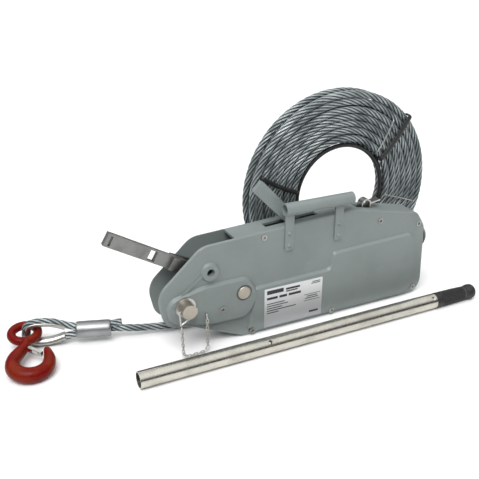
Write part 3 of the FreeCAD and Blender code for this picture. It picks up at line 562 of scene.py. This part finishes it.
def smooth_line(points: np.ndarray, spacing: float) -> np.ndarray:
    """Evenly spaced points on the smooth line that a list of control points gives.

    The line is a quadratic NURBS spline through its two end points; it is read back and then
    resampled by its arc length.

    Args:
        points: control points, count by 3.
        spacing: wanted distance between points, in metres.

    Returns:
        Array of points, count by 3.
    """
    curve = bpy.data.curves.new("route", "CURVE")
    curve.dimensions = "3D"
    spline = curve.splines.new("NURBS")
    spline.points.add(len(points) - 1)
    spline.points.foreach_set("co", np.hstack([points, np.ones((len(points), 1))]).reshape(-1))
    spline.order_u = 3
    spline.use_endpoint_u = True
    spline.resolution_u = 16
    holder = bpy.data.objects.new("route", curve)
    bpy.context.scene.collection.objects.link(holder)
    bpy.context.view_layer.update()
    mesh = bpy.data.meshes.new_from_object(holder)
    line = np.empty(len(mesh.vertices) * 3)
    mesh.vertices.foreach_get("co", line)
    line = line.reshape(-1, 3)
    bpy.data.objects.remove(holder)
    bpy.data.curves.remove(curve)
    bpy.data.meshes.remove(mesh)
    keep = np.append(True, np.linalg.norm(np.diff(line, axis=0), axis=1) > 1e-6)
    line = line[keep]
    reach = np.append(0.0, np.cumsum(np.linalg.norm(np.diff(line, axis=0), axis=1)))
    wanted = np.linspace(0.0, reach[-1], max(int(reach[-1] / spacing), 2) + 1)
    return np.stack([np.interp(wanted, reach, line[:, k]) for k in range(3)], axis=-1)


def line_length(line: np.ndarray) -> float:
    """Length along a row of points."""
    return float(np.linalg.norm(np.diff(line, axis=0), axis=1).sum())


def carried(line: np.ndarray, sideways: np.ndarray) -> tuple[np.ndarray, np.ndarray, np.ndarray]:
    """Two directions across a line, and its direction.

    The second is the sideways vector with its part along the line taken away; the first is the
    second crossed with the line's direction, so first x second = direction.

    Args:
        line: points, count by 3.
        sideways: a vector that the line never runs along.

    Returns:
        First and second direction across, and the direction along, each count by 3.
    """
    along = unit(np.gradient(line, axis=0))
    second = unit(sideways - (along @ sideways)[:, None] * along)
    return np.cross(second, along), second, along


def tube_piece(name: str, line: np.ndarray, radius: float, sideways: np.ndarray, columns: int,
               flat: float) -> bpy.types.Object:
    """Bar along a line: circles carried along it, pressed flat in the second direction.

    Args:
        name: the piece's name.
        line: the bar's middle line.
        radius: the circles' radius.
        sideways: a vector that the line never runs along.
        columns: points round the bar.
        flat: height of the section as a share of its width.

    Returns:
        The object.
    """
    first, second, _ = carried(line, sideways)
    turn = np.linspace(0, 2 * math.pi, columns, endpoint=False)
    ring = (np.cos(turn)[None, :, None] * first[:, None]
            + flat * np.sin(turn)[None, :, None] * second[:, None])
    return grid_piece(name, line[:, None] + radius * ring)


# ---- rope ----------------------------------------------------------------------------------------
@dataclass
class WireRope:
    """A rope of round strands laid right-handed round a core."""

    diameter: float = 0.016
    strands: int = 6
    per_strand: int = 5
    spacing: float = 0.007

    def piece(self, name: str, line: np.ndarray, sideways: np.ndarray) -> bpy.types.Object:
        """Strand surface along a line.

        At angle a from a strand's crown the surface lies at d cos a + sqrt(r^2 - d^2 sin^2 a) from
        the rope's middle, with d two thirds and r one third of the rope's radius. The crowns turn
        once per lay.

        Args:
            name: the piece's name.
            line: the rope's middle line.
            sideways: a vector that the line never runs along.

        Returns:
            The object, with the rope's UV map.
        """
        count = self.strands * self.per_strand
        step = 2 * math.pi / count
        first, second, _ = carried(line, sideways)
        reach = np.append(0.0, np.cumsum(np.linalg.norm(np.diff(line, axis=0), axis=1)))
        column = np.arange(count + 1)
        from_crown = (column % self.per_strand - self.per_strand // 2) * step
        d, r = self.diameter / 3, self.diameter / 6
        bulge = d * np.cos(from_crown) + np.sqrt(np.maximum(r * r - (d * np.sin(from_crown)) ** 2, 0.0))
        turn = column[None, :] * step + (reach * 2 * math.pi / LAY)[:, None]
        ring = np.cos(turn)[..., None] * first[:, None] + np.sin(turn)[..., None] * second[:, None]
        points = line[:, None] + bulge[None, :, None] * ring
        quarter = 0.25 / self.strands
        centre = (self.per_strand // 2) / count
        v = column / count - centre + quarter
        uv = np.stack(np.broadcast_arrays(reach[:, None], v[None, :]), axis=-1)
        return grid_piece(name, points[:, :count], uv=uv)


@dataclass
class RopeCoil:
    """The whole rope: the stretch on the floor, then the tied coil behind the casing.

    Attributes:
        radius: middle of the outermost turn.
        pitch: distance between turns of a layer.
        layer_pitch: distance between layers.
        centre: the coil's middle along X and Y, from the main shaft's foot.
        floor_gap: room under the lowest turn.
        per_turn: control points in a turn.
        crossover: control points over which a turn changes to the next.
        early: how many points before the lowest one that change is centred.
        looseness: height of the slow waves that loosen the turns.
        layers: way, -1 inwards or 1 outwards, and turns of each layer.
        route: control points of the stretch on the floor, from the main shaft's foot.
        line: the rope's middle line, once built.
    """

    radius: float = 0.2240
    pitch: float = 0.016
    layer_pitch: float = 0.0162
    centre: tuple[float, float] = (0.308, 0.108)
    floor_gap: float = 0.0002
    per_turn: int = 20
    crossover: int = 5
    early: int = 2
    looseness: float = 0.0010
    layers: tuple[tuple[float, float], ...] = ((-1.0, 7.0), (1.0, 6.0), (-1.0, 5.1))
    route: tuple[tuple[float, float, float], ...] = (
        (-0.248, 0.082, 0.027), (-0.212, 0.073, 0.021), (-0.160, 0.066, 0.014), (-0.100, 0.060, 0.0095),
        (-0.036, 0.057, 0.0084), (0.028, 0.060, 0.0082), (0.092, 0.068, 0.0083), (0.158, 0.079, 0.0082),
        (0.226, 0.088, 0.0083), (0.286, 0.0918, 0.0082))
    line: np.ndarray = field(default_factory=lambda: np.zeros((0, 3)))

    def middle(self) -> np.ndarray:
        """The coil's centre."""
        x, y = self.centre
        return SHAFT_FOOT + np.array([x, y, self.radius + WireRope().diameter / 2 + self.floor_gap])

    def turns(self) -> np.ndarray:
        """Control points of the coil's turns.

        Turn k of a layer is a circle one pitch smaller or larger than the turn before. The change
        is spread by a short moving average over the lowest part of the turn, which stands behind
        the casing. The points stand out by 1 / cos(half a step), which makes the smooth line pass
        at the wanted radius, and slow waves loosen the turns.

        Returns:
            Control points, count by 3.
        """
        step = 2 * math.pi / self.per_turn
        size, depth, radius = [], [], self.radius
        for layer, (way, count) in enumerate(self.layers):
            turn = np.floor((np.arange(round(count * self.per_turn)) + self.early) / self.per_turn)
            size.append(radius + way * self.pitch * turn)
            depth.append(np.full(len(turn), layer))
            radius = size[-1][-1] + self.pitch / 2
        size, depth = np.concatenate(size), np.concatenate(depth).astype(float)
        soften = np.ones(self.crossover) / self.crossover
        pad = self.crossover // 2
        size = np.convolve(np.pad(size, pad, mode="edge"), soften, mode="valid")
        depth = np.convolve(np.pad(depth, pad, mode="edge"), soften, mode="valid")
        angle = -math.pi / 2 + step / 2 + step * np.arange(len(size))
        begun = np.minimum(np.arange(len(size)) / self.per_turn, 1.0)
        sway = self.looseness * begun * np.sin(angle * 0.31 + 0.5)
        slack = self.looseness * begun * (np.sin(angle * 0.23 + 1.0) - 1.0)
        reach = np.minimum(size + slack, self.radius) / math.cos(step / 2)
        y = (depth - 1) * self.layer_pitch + sway
        around = np.stack([np.cos(angle) * reach, y, np.sin(angle) * reach], axis=-1)
        return self.middle() + around

    def build(self) -> bpy.types.Object:
        """Makes the rope and keeps its middle line.

        Returns:
            The rope.
        """
        rope = WireRope()
        control = np.vstack([np.array(self.route) + SHAFT_FOOT, self.turns()])
        self.line = smooth_line(control, rope.spacing)
        piece = rope.piece("wire_rope", self.line, ACROSS)
        SHOP.dress(piece, Finish.WIRE)
        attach(piece, "casing")
        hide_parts("rope_lead", "rope_coil")
        LOG.info("rope %.2f m long", line_length(self.line))
        return piece

    def across_front(self, degrees: float, lean: float, inner: float, outer: float,
                     height: float) -> np.ndarray:
        """Points of a strap on the coil's front that dives between the turns at both ends.

        Args:
            degrees: where its inner end stands, from +X towards +Z.
            lean: how far the outer end is turned on from there, in degrees.
            inner: radius of its inner end.
            outer: radius of its outer end.
            height: how far it lies in front of the coil's middle.

        Returns:
            Control points, count by 3.
        """
        share = np.array([0.0, 0.0, 0.02, 0.3, 0.6, 0.98, 1.0, 1.0])
        front = np.array([0.3, 0.8, 1.0, 1.0, 1.0, 1.0, 0.85, 0.5]) * height
        angle = np.radians(degrees + lean * share)
        reach = inner + (outer - inner) * share
        return self.middle() + np.stack([np.cos(angle) * reach, -front, np.sin(angle) * reach], axis=-1)

    def straps(self) -> list[bpy.types.Object]:
        """Black ties and thin pale wires that hold the turns together.

        Each plan is (half width, flatness, degrees, lean, inner radius, outer radius); the ties
        are black and replace CAD nodes, and the wires are zinc.

        Returns:
            The four straps.
        """
        made = []
        inner, outer = self.radius - 6 * self.pitch - 0.0092, self.radius + 0.0075
        plans = {"tie_left": (0.0046, 0.5, 170.0, -8.0, inner, outer - 0.014),
                 "tie_right": (0.0060, 0.4, 34.0, 9.0, inner, outer + 0.004),
                 "wire_upper": (0.0013, 1.0, 44.0, 7.0, inner, outer - 0.030),
                 "wire_side": (0.0012, 1.0, -11.0, -3.0, inner + 0.006, outer - 0.020)}
        for name, (half, flat, degrees, lean, low, high) in plans.items():
            height = self.layer_pitch + WireRope().diameter / 2 + half * flat + self.looseness
            line = smooth_line(self.across_front(degrees, lean, low, high, height), LEG_SPACING)
            strap = tube_piece(name, line, half, ACROSS + 0.001, 12, flat)
            black = name.startswith("tie_")
            SHOP.dress(strap, Finish.BLACK if black else Finish.ZINC)
            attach(strap, "casing")
            if black:
                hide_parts(f"coil_{name}")
            made.append(strap)
        return made


@dataclass
class EyeEnd:
    """The rope's eye round its thimble, beyond the ferrule; local -X leads away from the rope.

    Attributes:
        start: where the rope leaves the ferrule, from the main shaft's foot.
        yaw: turn about Z, in degrees.
        rise: turn about Y, in degrees.
        ferrule: the ferrule's length.
        length: the eye's length beyond the ferrule.
        tail: how far the dead end sticks out.
        half: the eye's half height.
        neck: half the distance between the legs in the ferrule.
        liner: radii of the thimble sheet's two faces about the rope's middle.
        wrap: how far the sheet reaches each side of the inward direction, in degrees.
        unlined: length of each leg without the thimble.
    """

    start: tuple[float, float, float] = (-0.248, 0.082, 0.027)
    yaw: float = -15.0
    rise: float = 2.0
    ferrule: float = 0.072
    length: float = 0.107
    tail: float = 0.022
    half: float = 0.024
    neck: float = 0.0081
    liner: tuple[float, float] = (0.0084, 0.0106)
    wrap: float = 96.0
    unlined: float = 0.030

    def placed(self, local: np.ndarray) -> np.ndarray:
        """Puts local points in the frame: turned by rise about Y, then by yaw about Z, then moved.

        Args:
            local: points, count by 3.

        Returns:
            The same points in the frame.
        """
        rise, yaw = math.radians(self.rise), math.radians(self.yaw)
        about_y = np.array([[math.cos(rise), 0, math.sin(rise)], [0, 1, 0],
                            [-math.sin(rise), 0, math.cos(rise)]])
        about_z = np.array([[math.cos(yaw), -math.sin(yaw), 0], [math.sin(yaw), math.cos(yaw), 0],
                            [0, 0, 1]])
        return local @ (about_z @ about_y).T + np.array(self.start) + SHAFT_FOOT

    def outline(self) -> np.ndarray:
        """Control points of the eye: two legs out of the ferrule and round the crown.

        Returns:
            Local points, count by 3.
        """
        crown = -self.ferrule - self.length + WireRope().diameter / 2
        leg, neck = -self.ferrule + 0.010, -self.ferrule - 0.006
        upper = [(leg, self.neck), (neck, self.neck), (crown + 0.052, self.half), (crown + 0.014, self.half),
                 (crown, self.half * 0.62)]
        both = upper + [(x, -z) for x, z in reversed(upper)]
        return np.array([(x, 0.0, z) for x, z in both])

    def build(self) -> None:
        """Makes the eye, the dead end, the thimble and the ferrule."""
        rope = WireRope(spacing=LEG_SPACING)
        sideways = (self.placed(np.array([[0, 1, 0]])) - self.placed(np.zeros((1, 3))))[0]
        line = smooth_line(self.placed(self.outline()), rope.spacing)
        eye = rope.piece("rope_eye_strands", line, sideways)
        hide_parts("rope_eye")
        tail_line = self.placed(np.array([(-0.004, 0.001, 0.0080), (0.006, 0.002, 0.0090),
                                          (0.014, 0.0025, 0.0098), (self.tail, 0.003, 0.0102)]))
        tail = rope.piece("rope_dead_end", smooth_line(tail_line, rope.spacing), sideways)
        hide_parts("rope_tail")
        for piece in (eye, tail):
            SHOP.dress(piece, Finish.WIRE)
            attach(piece, "casing")
        self.thimble(line, sideways)
        self.pressed_ferrule()

    def thimble(self, line: np.ndarray, sideways: np.ndarray) -> None:
        """Grooved liner: a half-round channel carried along the inside of the eye.

        Its section is an arc of the angle wrap each side of the inward direction, at the rope's
        radius plus a gap, and back at that radius plus the sheet's thickness.

        Args:
            line: the eye's middle line.
            sideways: a vector across the eye's plane.
        """
        trim = int(self.unlined / LEG_SPACING)
        inner = line[trim:-trim]
        first, second, _ = carried(inner, sideways)
        inward = np.sign(np.sum((inner.mean(axis=0) - inner) * first, axis=1, keepdims=True).mean())
        arc = np.radians(np.linspace(-self.wrap, self.wrap, 17))
        near, far = self.liner
        section = np.concatenate([np.stack([near * np.cos(arc), near * np.sin(arc)], axis=-1),
                                  np.stack([far * np.cos(arc[::-1]), far * np.sin(arc[::-1])], axis=-1)])
        points = (inner[:, None] + section[None, :, :1] * first[:, None] * inward
                  + section[None, :, 1:] * second[:, None])
        piece = grid_piece("eye_thimble", points)
        face_outwards(piece)
        SHOP.dress(piece, Finish.ZINC)
        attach(piece, "casing")
        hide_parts("thimble")

    def pressed_ferrule(self) -> None:
        """Ferrule: an oval sleeve with rolled ends and two faint flats left by the press.

        Its radius follows the round sleeve, drawn in over the last few millimetres at each end, and
        shrinks by half a millimetre where the dies met.
        """
        along = np.array([0.0, 0.0, 0.0012, 0.003, 0.006, 0.012, 0.024, 0.036, 0.048, 0.060, 0.066, 0.069,
                          0.0708, self.ferrule, self.ferrule])
        radius = np.array([0.0, 0.0142, 0.0162, 0.0171, 0.0174, 0.0175, 0.0174, 0.0175, 0.0175, 0.0174,
                           0.0173, 0.0169, 0.0160, 0.0142, 0.0])
        turn = np.linspace(0, 2 * math.pi, 48, endpoint=False)
        seam = 1.0 - 0.03 * np.exp(-(np.cos(turn) / 0.16) ** 2)
        size = np.maximum(radius, 0.0005)[:, None] * seam[None, :]
        x = np.broadcast_to(-along[:, None], size.shape)
        points = np.stack([x, size * np.cos(turn), size * np.sin(turn)], axis=-1)
        piece = grid_piece("pressed_ferrule", self.placed(points.reshape(-1, 3)).reshape(points.shape))
        face_outwards(piece)
        SHOP.dress(piece, Finish.PRESSED)
        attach(piece, "casing")
        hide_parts("ferrule")


@dataclass
class Hook:
    """The forged eye hook, blended where the shank meets the eye.

    Attributes:
        grain: voxel size of the remesh.
        rounds: rounds of smoothing.
    """

    grain: float = 0.0012
    rounds: int = 6

    def build(self) -> None:
        """Remeshes a copy of the forging and eases its joints."""
        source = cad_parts["hook"]
        piece = bpy.data.objects.new("forged_hook", source.data.copy())
        piece.data.materials.clear()
        bpy.context.scene.collection.objects.link(piece)
        voxel = piece.modifiers.new("voxel", "REMESH")
        voxel.mode, voxel.voxel_size, voxel.use_smooth_shade = "VOXEL", self.grain, True
        ease = piece.modifiers.new("ease", "SMOOTH")
        ease.factor, ease.iterations = 0.5, self.rounds
        view = bpy.context.evaluated_depsgraph_get()
        mesh = bpy.data.meshes.new_from_object(piece.evaluated_get(view))
        piece.modifiers.clear()
        piece.data = mesh
        SHOP.dress(piece, Finish.HOOK)
        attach(piece, "hook")
        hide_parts("hook")
        LOG.info("hook: %d faces", len(mesh.polygons))


# ---- casing --------------------------------------------------------------------------------------
@dataclass
class Casing:
    """The two pressed shells and everything fixed to them; ink is half the label bars' thickness."""

    ink: float = 0.0002

    def build(self) -> None:
        """Dresses the shells and their fittings, and prints the label."""
        for node in ("near_shell", "far_shell", "rear_rope_guide", "carry_strap_front", "carry_strap_rear",
                     "carry_tube", "carry_rivets"):
            SHOP.dress_node(node, Finish.ENAMEL)
        for node in ("anchor_washer", "pin_clip", "chain_staple", "retaining_chain"):
            SHOP.dress_node(node, Finish.ZINC)
        SHOP.dress_node("casing_screws", Finish.SCREW)
        SHOP.dress_node("anchor_pin", Finish.SHAFT)
        SHOP.dress_node("shaft_bushes", Finish.DARK)
        SHOP.dress_node("front_rope_guide", Finish.DARK)
        SHOP.dress_node("data_label", Finish.FOIL)
        self.print_label()

    def print_label(self) -> None:
        """Plain bars in place of words.

        Each row gives a bar's height, left end, right end and thickness as shares of the label.
        """
        low, high = (np.array(corner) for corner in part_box("data_label"))
        wide, tall = high[0] - low[0], high[2] - low[2]
        table = np.array([
            (0.90, 0.04, 0.32, 0.10), (0.90, 0.36, 0.60, 0.05), (0.84, 0.36, 0.56, 0.03),
            (0.93, 0.82, 0.96, 0.02), (0.89, 0.80, 0.96, 0.02), (0.74, 0.04, 0.22, 0.06),
            (0.74, 0.25, 0.38, 0.06), (0.74, 0.41, 0.62, 0.06), (0.60, 0.04, 0.34, 0.022),
            (0.54, 0.04, 0.40, 0.022), (0.48, 0.04, 0.30, 0.022), (0.42, 0.04, 0.54, 0.022),
            (0.36, 0.04, 0.24, 0.022), (0.62, 0.68, 0.96, 0.012), (0.46, 0.68, 0.96, 0.012),
            (0.57, 0.73, 0.91, 0.02), (0.52, 0.70, 0.93, 0.02), (0.14, 0.78, 0.94, 0.05)])
        blocks = np.empty((len(table), 2, 3))
        blocks[:, 0, 0], blocks[:, 1, 0] = low[0] + table[:, 1] * wide, low[0] + table[:, 2] * wide
        blocks[:, 0, 1], blocks[:, 1, 1] = low[1] - self.ink, low[1] + self.ink
        middle, thick = low[2] + table[:, 0] * tall, table[:, 3] * tall
        blocks[:, 0, 2], blocks[:, 1, 2] = middle - thick / 2, middle + thick / 2
        bars = box_piece("label_bars", blocks)
        SHOP.dress(bars, Finish.INK)
        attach(bars, "casing")


@dataclass
class Mechanism:
    """Levers, shafts, carriages and jaws."""

    def build(self) -> None:
        """Dresses the moving steel parts."""
        SHOP.dress_node("forward_lever", Finish.BARE)
        SHOP.dress_node("main_shaft", Finish.SHAFT)
        SHOP.dress_node("reverse_lever", Finish.ENAMEL)
        SHOP.dress_node("reverse_shaft", Finish.SHAFT)
        SHOP.dress_node("release_lever", Finish.ZINC)
        SHOP.dress_node("shear_pins", Finish.BRONZE)
        for node in ("crank_plates", "front_carriage", "rear_carriage", "front_links", "rear_links"):
            SHOP.dress_node(node, Finish.DARK)
        for node in ("crank_pins", "front_upper_jaw", "front_lower_jaw", "rear_upper_jaw", "rear_lower_jaw"):
            SHOP.dress_node(node, Finish.SHAFT)


@dataclass
class OperatingHandle:
    """The telescopic handle on the floor, with its ribbed grip.

    Attributes:
        axis_y: the handle's axis along Y.
        axis_z: its height.
        ribs: ribs round the grip.
        rib_height: half a rib's height.
    """

    axis_y: float = -0.107
    axis_z: float = 0.017
    ribs: int = 28
    rib_height: float = 0.0006

    def build(self) -> None:
        """Dresses the tubes and makes the grip."""
        SHOP.dress_node("handle_tube", Finish.TUBE)
        SHOP.dress_node("inner_tube", Finish.ZINC)
        SHOP.dress_node("lock_button", Finish.ZINC)
        SHOP.dress_node("button_spring", Finish.SHAFT)
        self.grip()

    def grip(self) -> None:
        """Rubber grip: a turned profile with lengthwise ribs.

        The radius at x is the profile's, read between its points, plus rib_height times the cosine
        of the rib count times the angle, faded out at the collar and the bulb.
        """
        low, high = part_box("handle_grip")
        start, length = low[0], high[0] - low[0]
        share = np.array([0.0, 0.004, 0.03, 0.07, 0.085, 0.10, 0.16, 0.30, 0.50, 0.66, 0.76, 0.80, 0.84,
                          0.90, 0.96, 0.99, 1.0])
        radius = np.array([0.0148, 0.0166, 0.0170, 0.0170, 0.0162, 0.0166, 0.0168, 0.0166, 0.0162, 0.0156,
                           0.0150, 0.0152, 0.0164, 0.0170, 0.0162, 0.0135, 0.0105])
        t = np.concatenate([np.linspace(0, 0.12, 26), np.linspace(0.13, 0.80, 60),
                            np.linspace(0.81, 1.0, 36)])
        size = np.interp(t, share, radius)
        turn = np.linspace(0, 2 * math.pi, self.ribs * 6, endpoint=False)
        fade = np.clip((t - 0.13) / 0.03, 0, 1) * np.clip((0.78 - t) / 0.03, 0, 1)
        size = size[:, None] + self.rib_height * fade[:, None] * (np.cos(self.ribs * turn)[None, :] - 1)
        x = np.broadcast_to((start + t * length)[:, None], size.shape)
        y, z = self.axis_y - size * np.cos(turn), self.axis_z + size * np.sin(turn)
        points = np.stack([x, y, z], axis=-1)
        piece = grid_piece("ribbed_grip", points)
        face_outwards(piece)
        SHOP.dress(piece, Finish.RUBBER)
        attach(piece, "handle_extension")
        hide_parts("handle_grip")


# ---- studio --------------------------------------------------------------------------------------
@dataclass
class Studio:
    """Pale floor, soft lights and the camera.

    Attributes:
        eye: the camera's place, from the main shaft's foot.
        yaw: the camera's heading from +Y towards +X, in degrees.
        pitch: how far it looks down, in degrees.
        lens: focal length in mm on a 36 mm sensor.
        overhead: the sun's strength.
        walls: the surroundings' strength near the horizon.
        ceiling: their strength overhead.
        target: what the area light is aimed at.
    """

    eye: tuple[float, float, float] = (-0.5658, -1.1762, 0.7919)
    yaw: float = 26.0
    pitch: float = 24.0
    lens: float = 53.36
    overhead: float = 1.9
    walls: float = 0.03
    ceiling: float = 1.1
    target: tuple[float, float, float] = (-0.1, 0.0, 0.12)

    def camera(self) -> None:
        """Sets the camera, which looks down along the casing from its front."""
        data = bpy.data.cameras.new("camera")
        data.lens, data.sensor_width = self.lens, 36.0
        data.clip_start = 0.02
        camera = bpy.data.objects.new("camera", data)
        yaw, pitch = math.radians(self.yaw), math.radians(self.pitch)
        level = math.cos(pitch)
        forward = Vector((math.sin(yaw) * level, math.cos(yaw) * level, -math.sin(pitch)))
        camera.rotation_euler = forward.to_track_quat("-Z", "Y").to_euler()
        camera.location = Vector(self.eye) + Vector(SHAFT_FOOT)
        bpy.context.scene.collection.objects.link(camera)
        bpy.context.scene.camera = camera

    def lamp(self, name: str, place: Sequence[float], size: float, power: float) -> None:
        """Area light aimed at the casing.

        Args:
            name: the lamp's name.
            place: where it stands.
            size: its diameter.
            power: its power in watts.
        """
        data = bpy.data.lights.new(name, "AREA")
        data.shape, data.size, data.energy = "DISK", size, power
        lamp = bpy.data.objects.new(name, data)
        lamp.location = Vector(place)
        lamp.rotation_euler = (Vector(self.target) - Vector(place)).to_track_quat("-Z", "Y").to_euler()
        bpy.context.scene.collection.objects.link(lamp)

    def floor(self) -> None:
        """Wide plain floor."""
        corners = 40.0 * np.array([[[-1, -1, 0], [1, -1, 0]], [[-1, 1, 0], [1, 1, 0]]])
        floor = grid_piece("floor", corners, around=False, caps=False)
        s = Shader("floor_paper")
        clouds = s.noise(s.place(), 3.0)
        paper = s.mix(clouds, (0.87, 0.87, 0.87), (0.90, 0.90, 0.90))
        floor.data.materials.append(s.finish(Base_Color=paper, Roughness=0.75))
        if floor.data.polygons[0].normal.z < 0:
            floor.data.flip_normals()

    def build(self) -> None:
        """Sets up the studio."""
        self.floor()
        self.camera()
        self.sun()
        self.lamp("key", (-0.9, -1.1, 2.0), 1.0, 9.0)
        self.surroundings()

    def sun(self) -> None:
        """Broad light from above, which keeps the floor evenly pale."""
        data = bpy.data.lights.new("overhead", "SUN")
        data.energy, data.angle = self.overhead, 0.7
        lamp = bpy.data.objects.new("overhead", data)
        lamp.rotation_euler = (math.radians(24), math.radians(-22), 0.0)
        bpy.context.scene.collection.objects.link(lamp)

    def surroundings(self) -> None:
        """Surroundings: bright above, dark near the horizon in reflections, and white to the camera."""
        world = bpy.data.worlds.new("studio")
        world.use_nodes = True
        tree = world.node_tree
        direction = tree.nodes.new("ShaderNodeTexCoord")
        split = tree.nodes.new("ShaderNodeSeparateXYZ")
        ramp = tree.nodes.new("ShaderNodeMapRange")
        ramp.interpolation_type = "SMOOTHSTEP"
        for name, value in (("From Min", 0.30), ("From Max", 0.72), ("To Min", self.walls),
                            ("To Max", self.ceiling)):
            ramp.inputs[name].default_value = value
        tree.links.new(direction.outputs["Generated"], split.inputs[0])
        tree.links.new(split.outputs[2], ramp.inputs["Value"])
        seen = tree.nodes.new("ShaderNodeLightPath")
        either = tree.nodes.new("ShaderNodeMath")
        either.operation = "MAXIMUM"
        tree.links.new(ramp.outputs[0], either.inputs[0])
        tree.links.new(seen.outputs["Is Camera Ray"], either.inputs[1])
        tree.links.new(either.outputs[0], tree.nodes["Background"].inputs["Strength"])
        tree.nodes["Background"].inputs["Color"].default_value = (1.0, 1.0, 1.0, 1.0)
        bpy.context.scene.world = world
        bpy.context.scene.view_settings.view_transform = "Standard"


def main() -> None:
    """Builds the puller piece by piece."""
    logging.basicConfig(level=logging.INFO, format="%(name)s: %(message)s")
    Studio().build()
    coil = RopeCoil()
    rope = coil.build()
    end = EyeEnd()
    end.build()
    straps = coil.straps()
    Hook().build()
    SHOP.dress_node("coil_ring", Finish.BLACK)
    for node in ("hook_latch", "latch_pin"):
        SHOP.dress_node(node, Finish.ZINC)
    Casing().build()
    Mechanism().build()
    OperatingHandle().build()
    LOG.info("sizes written")


if __name__ == "__main__":
    main()
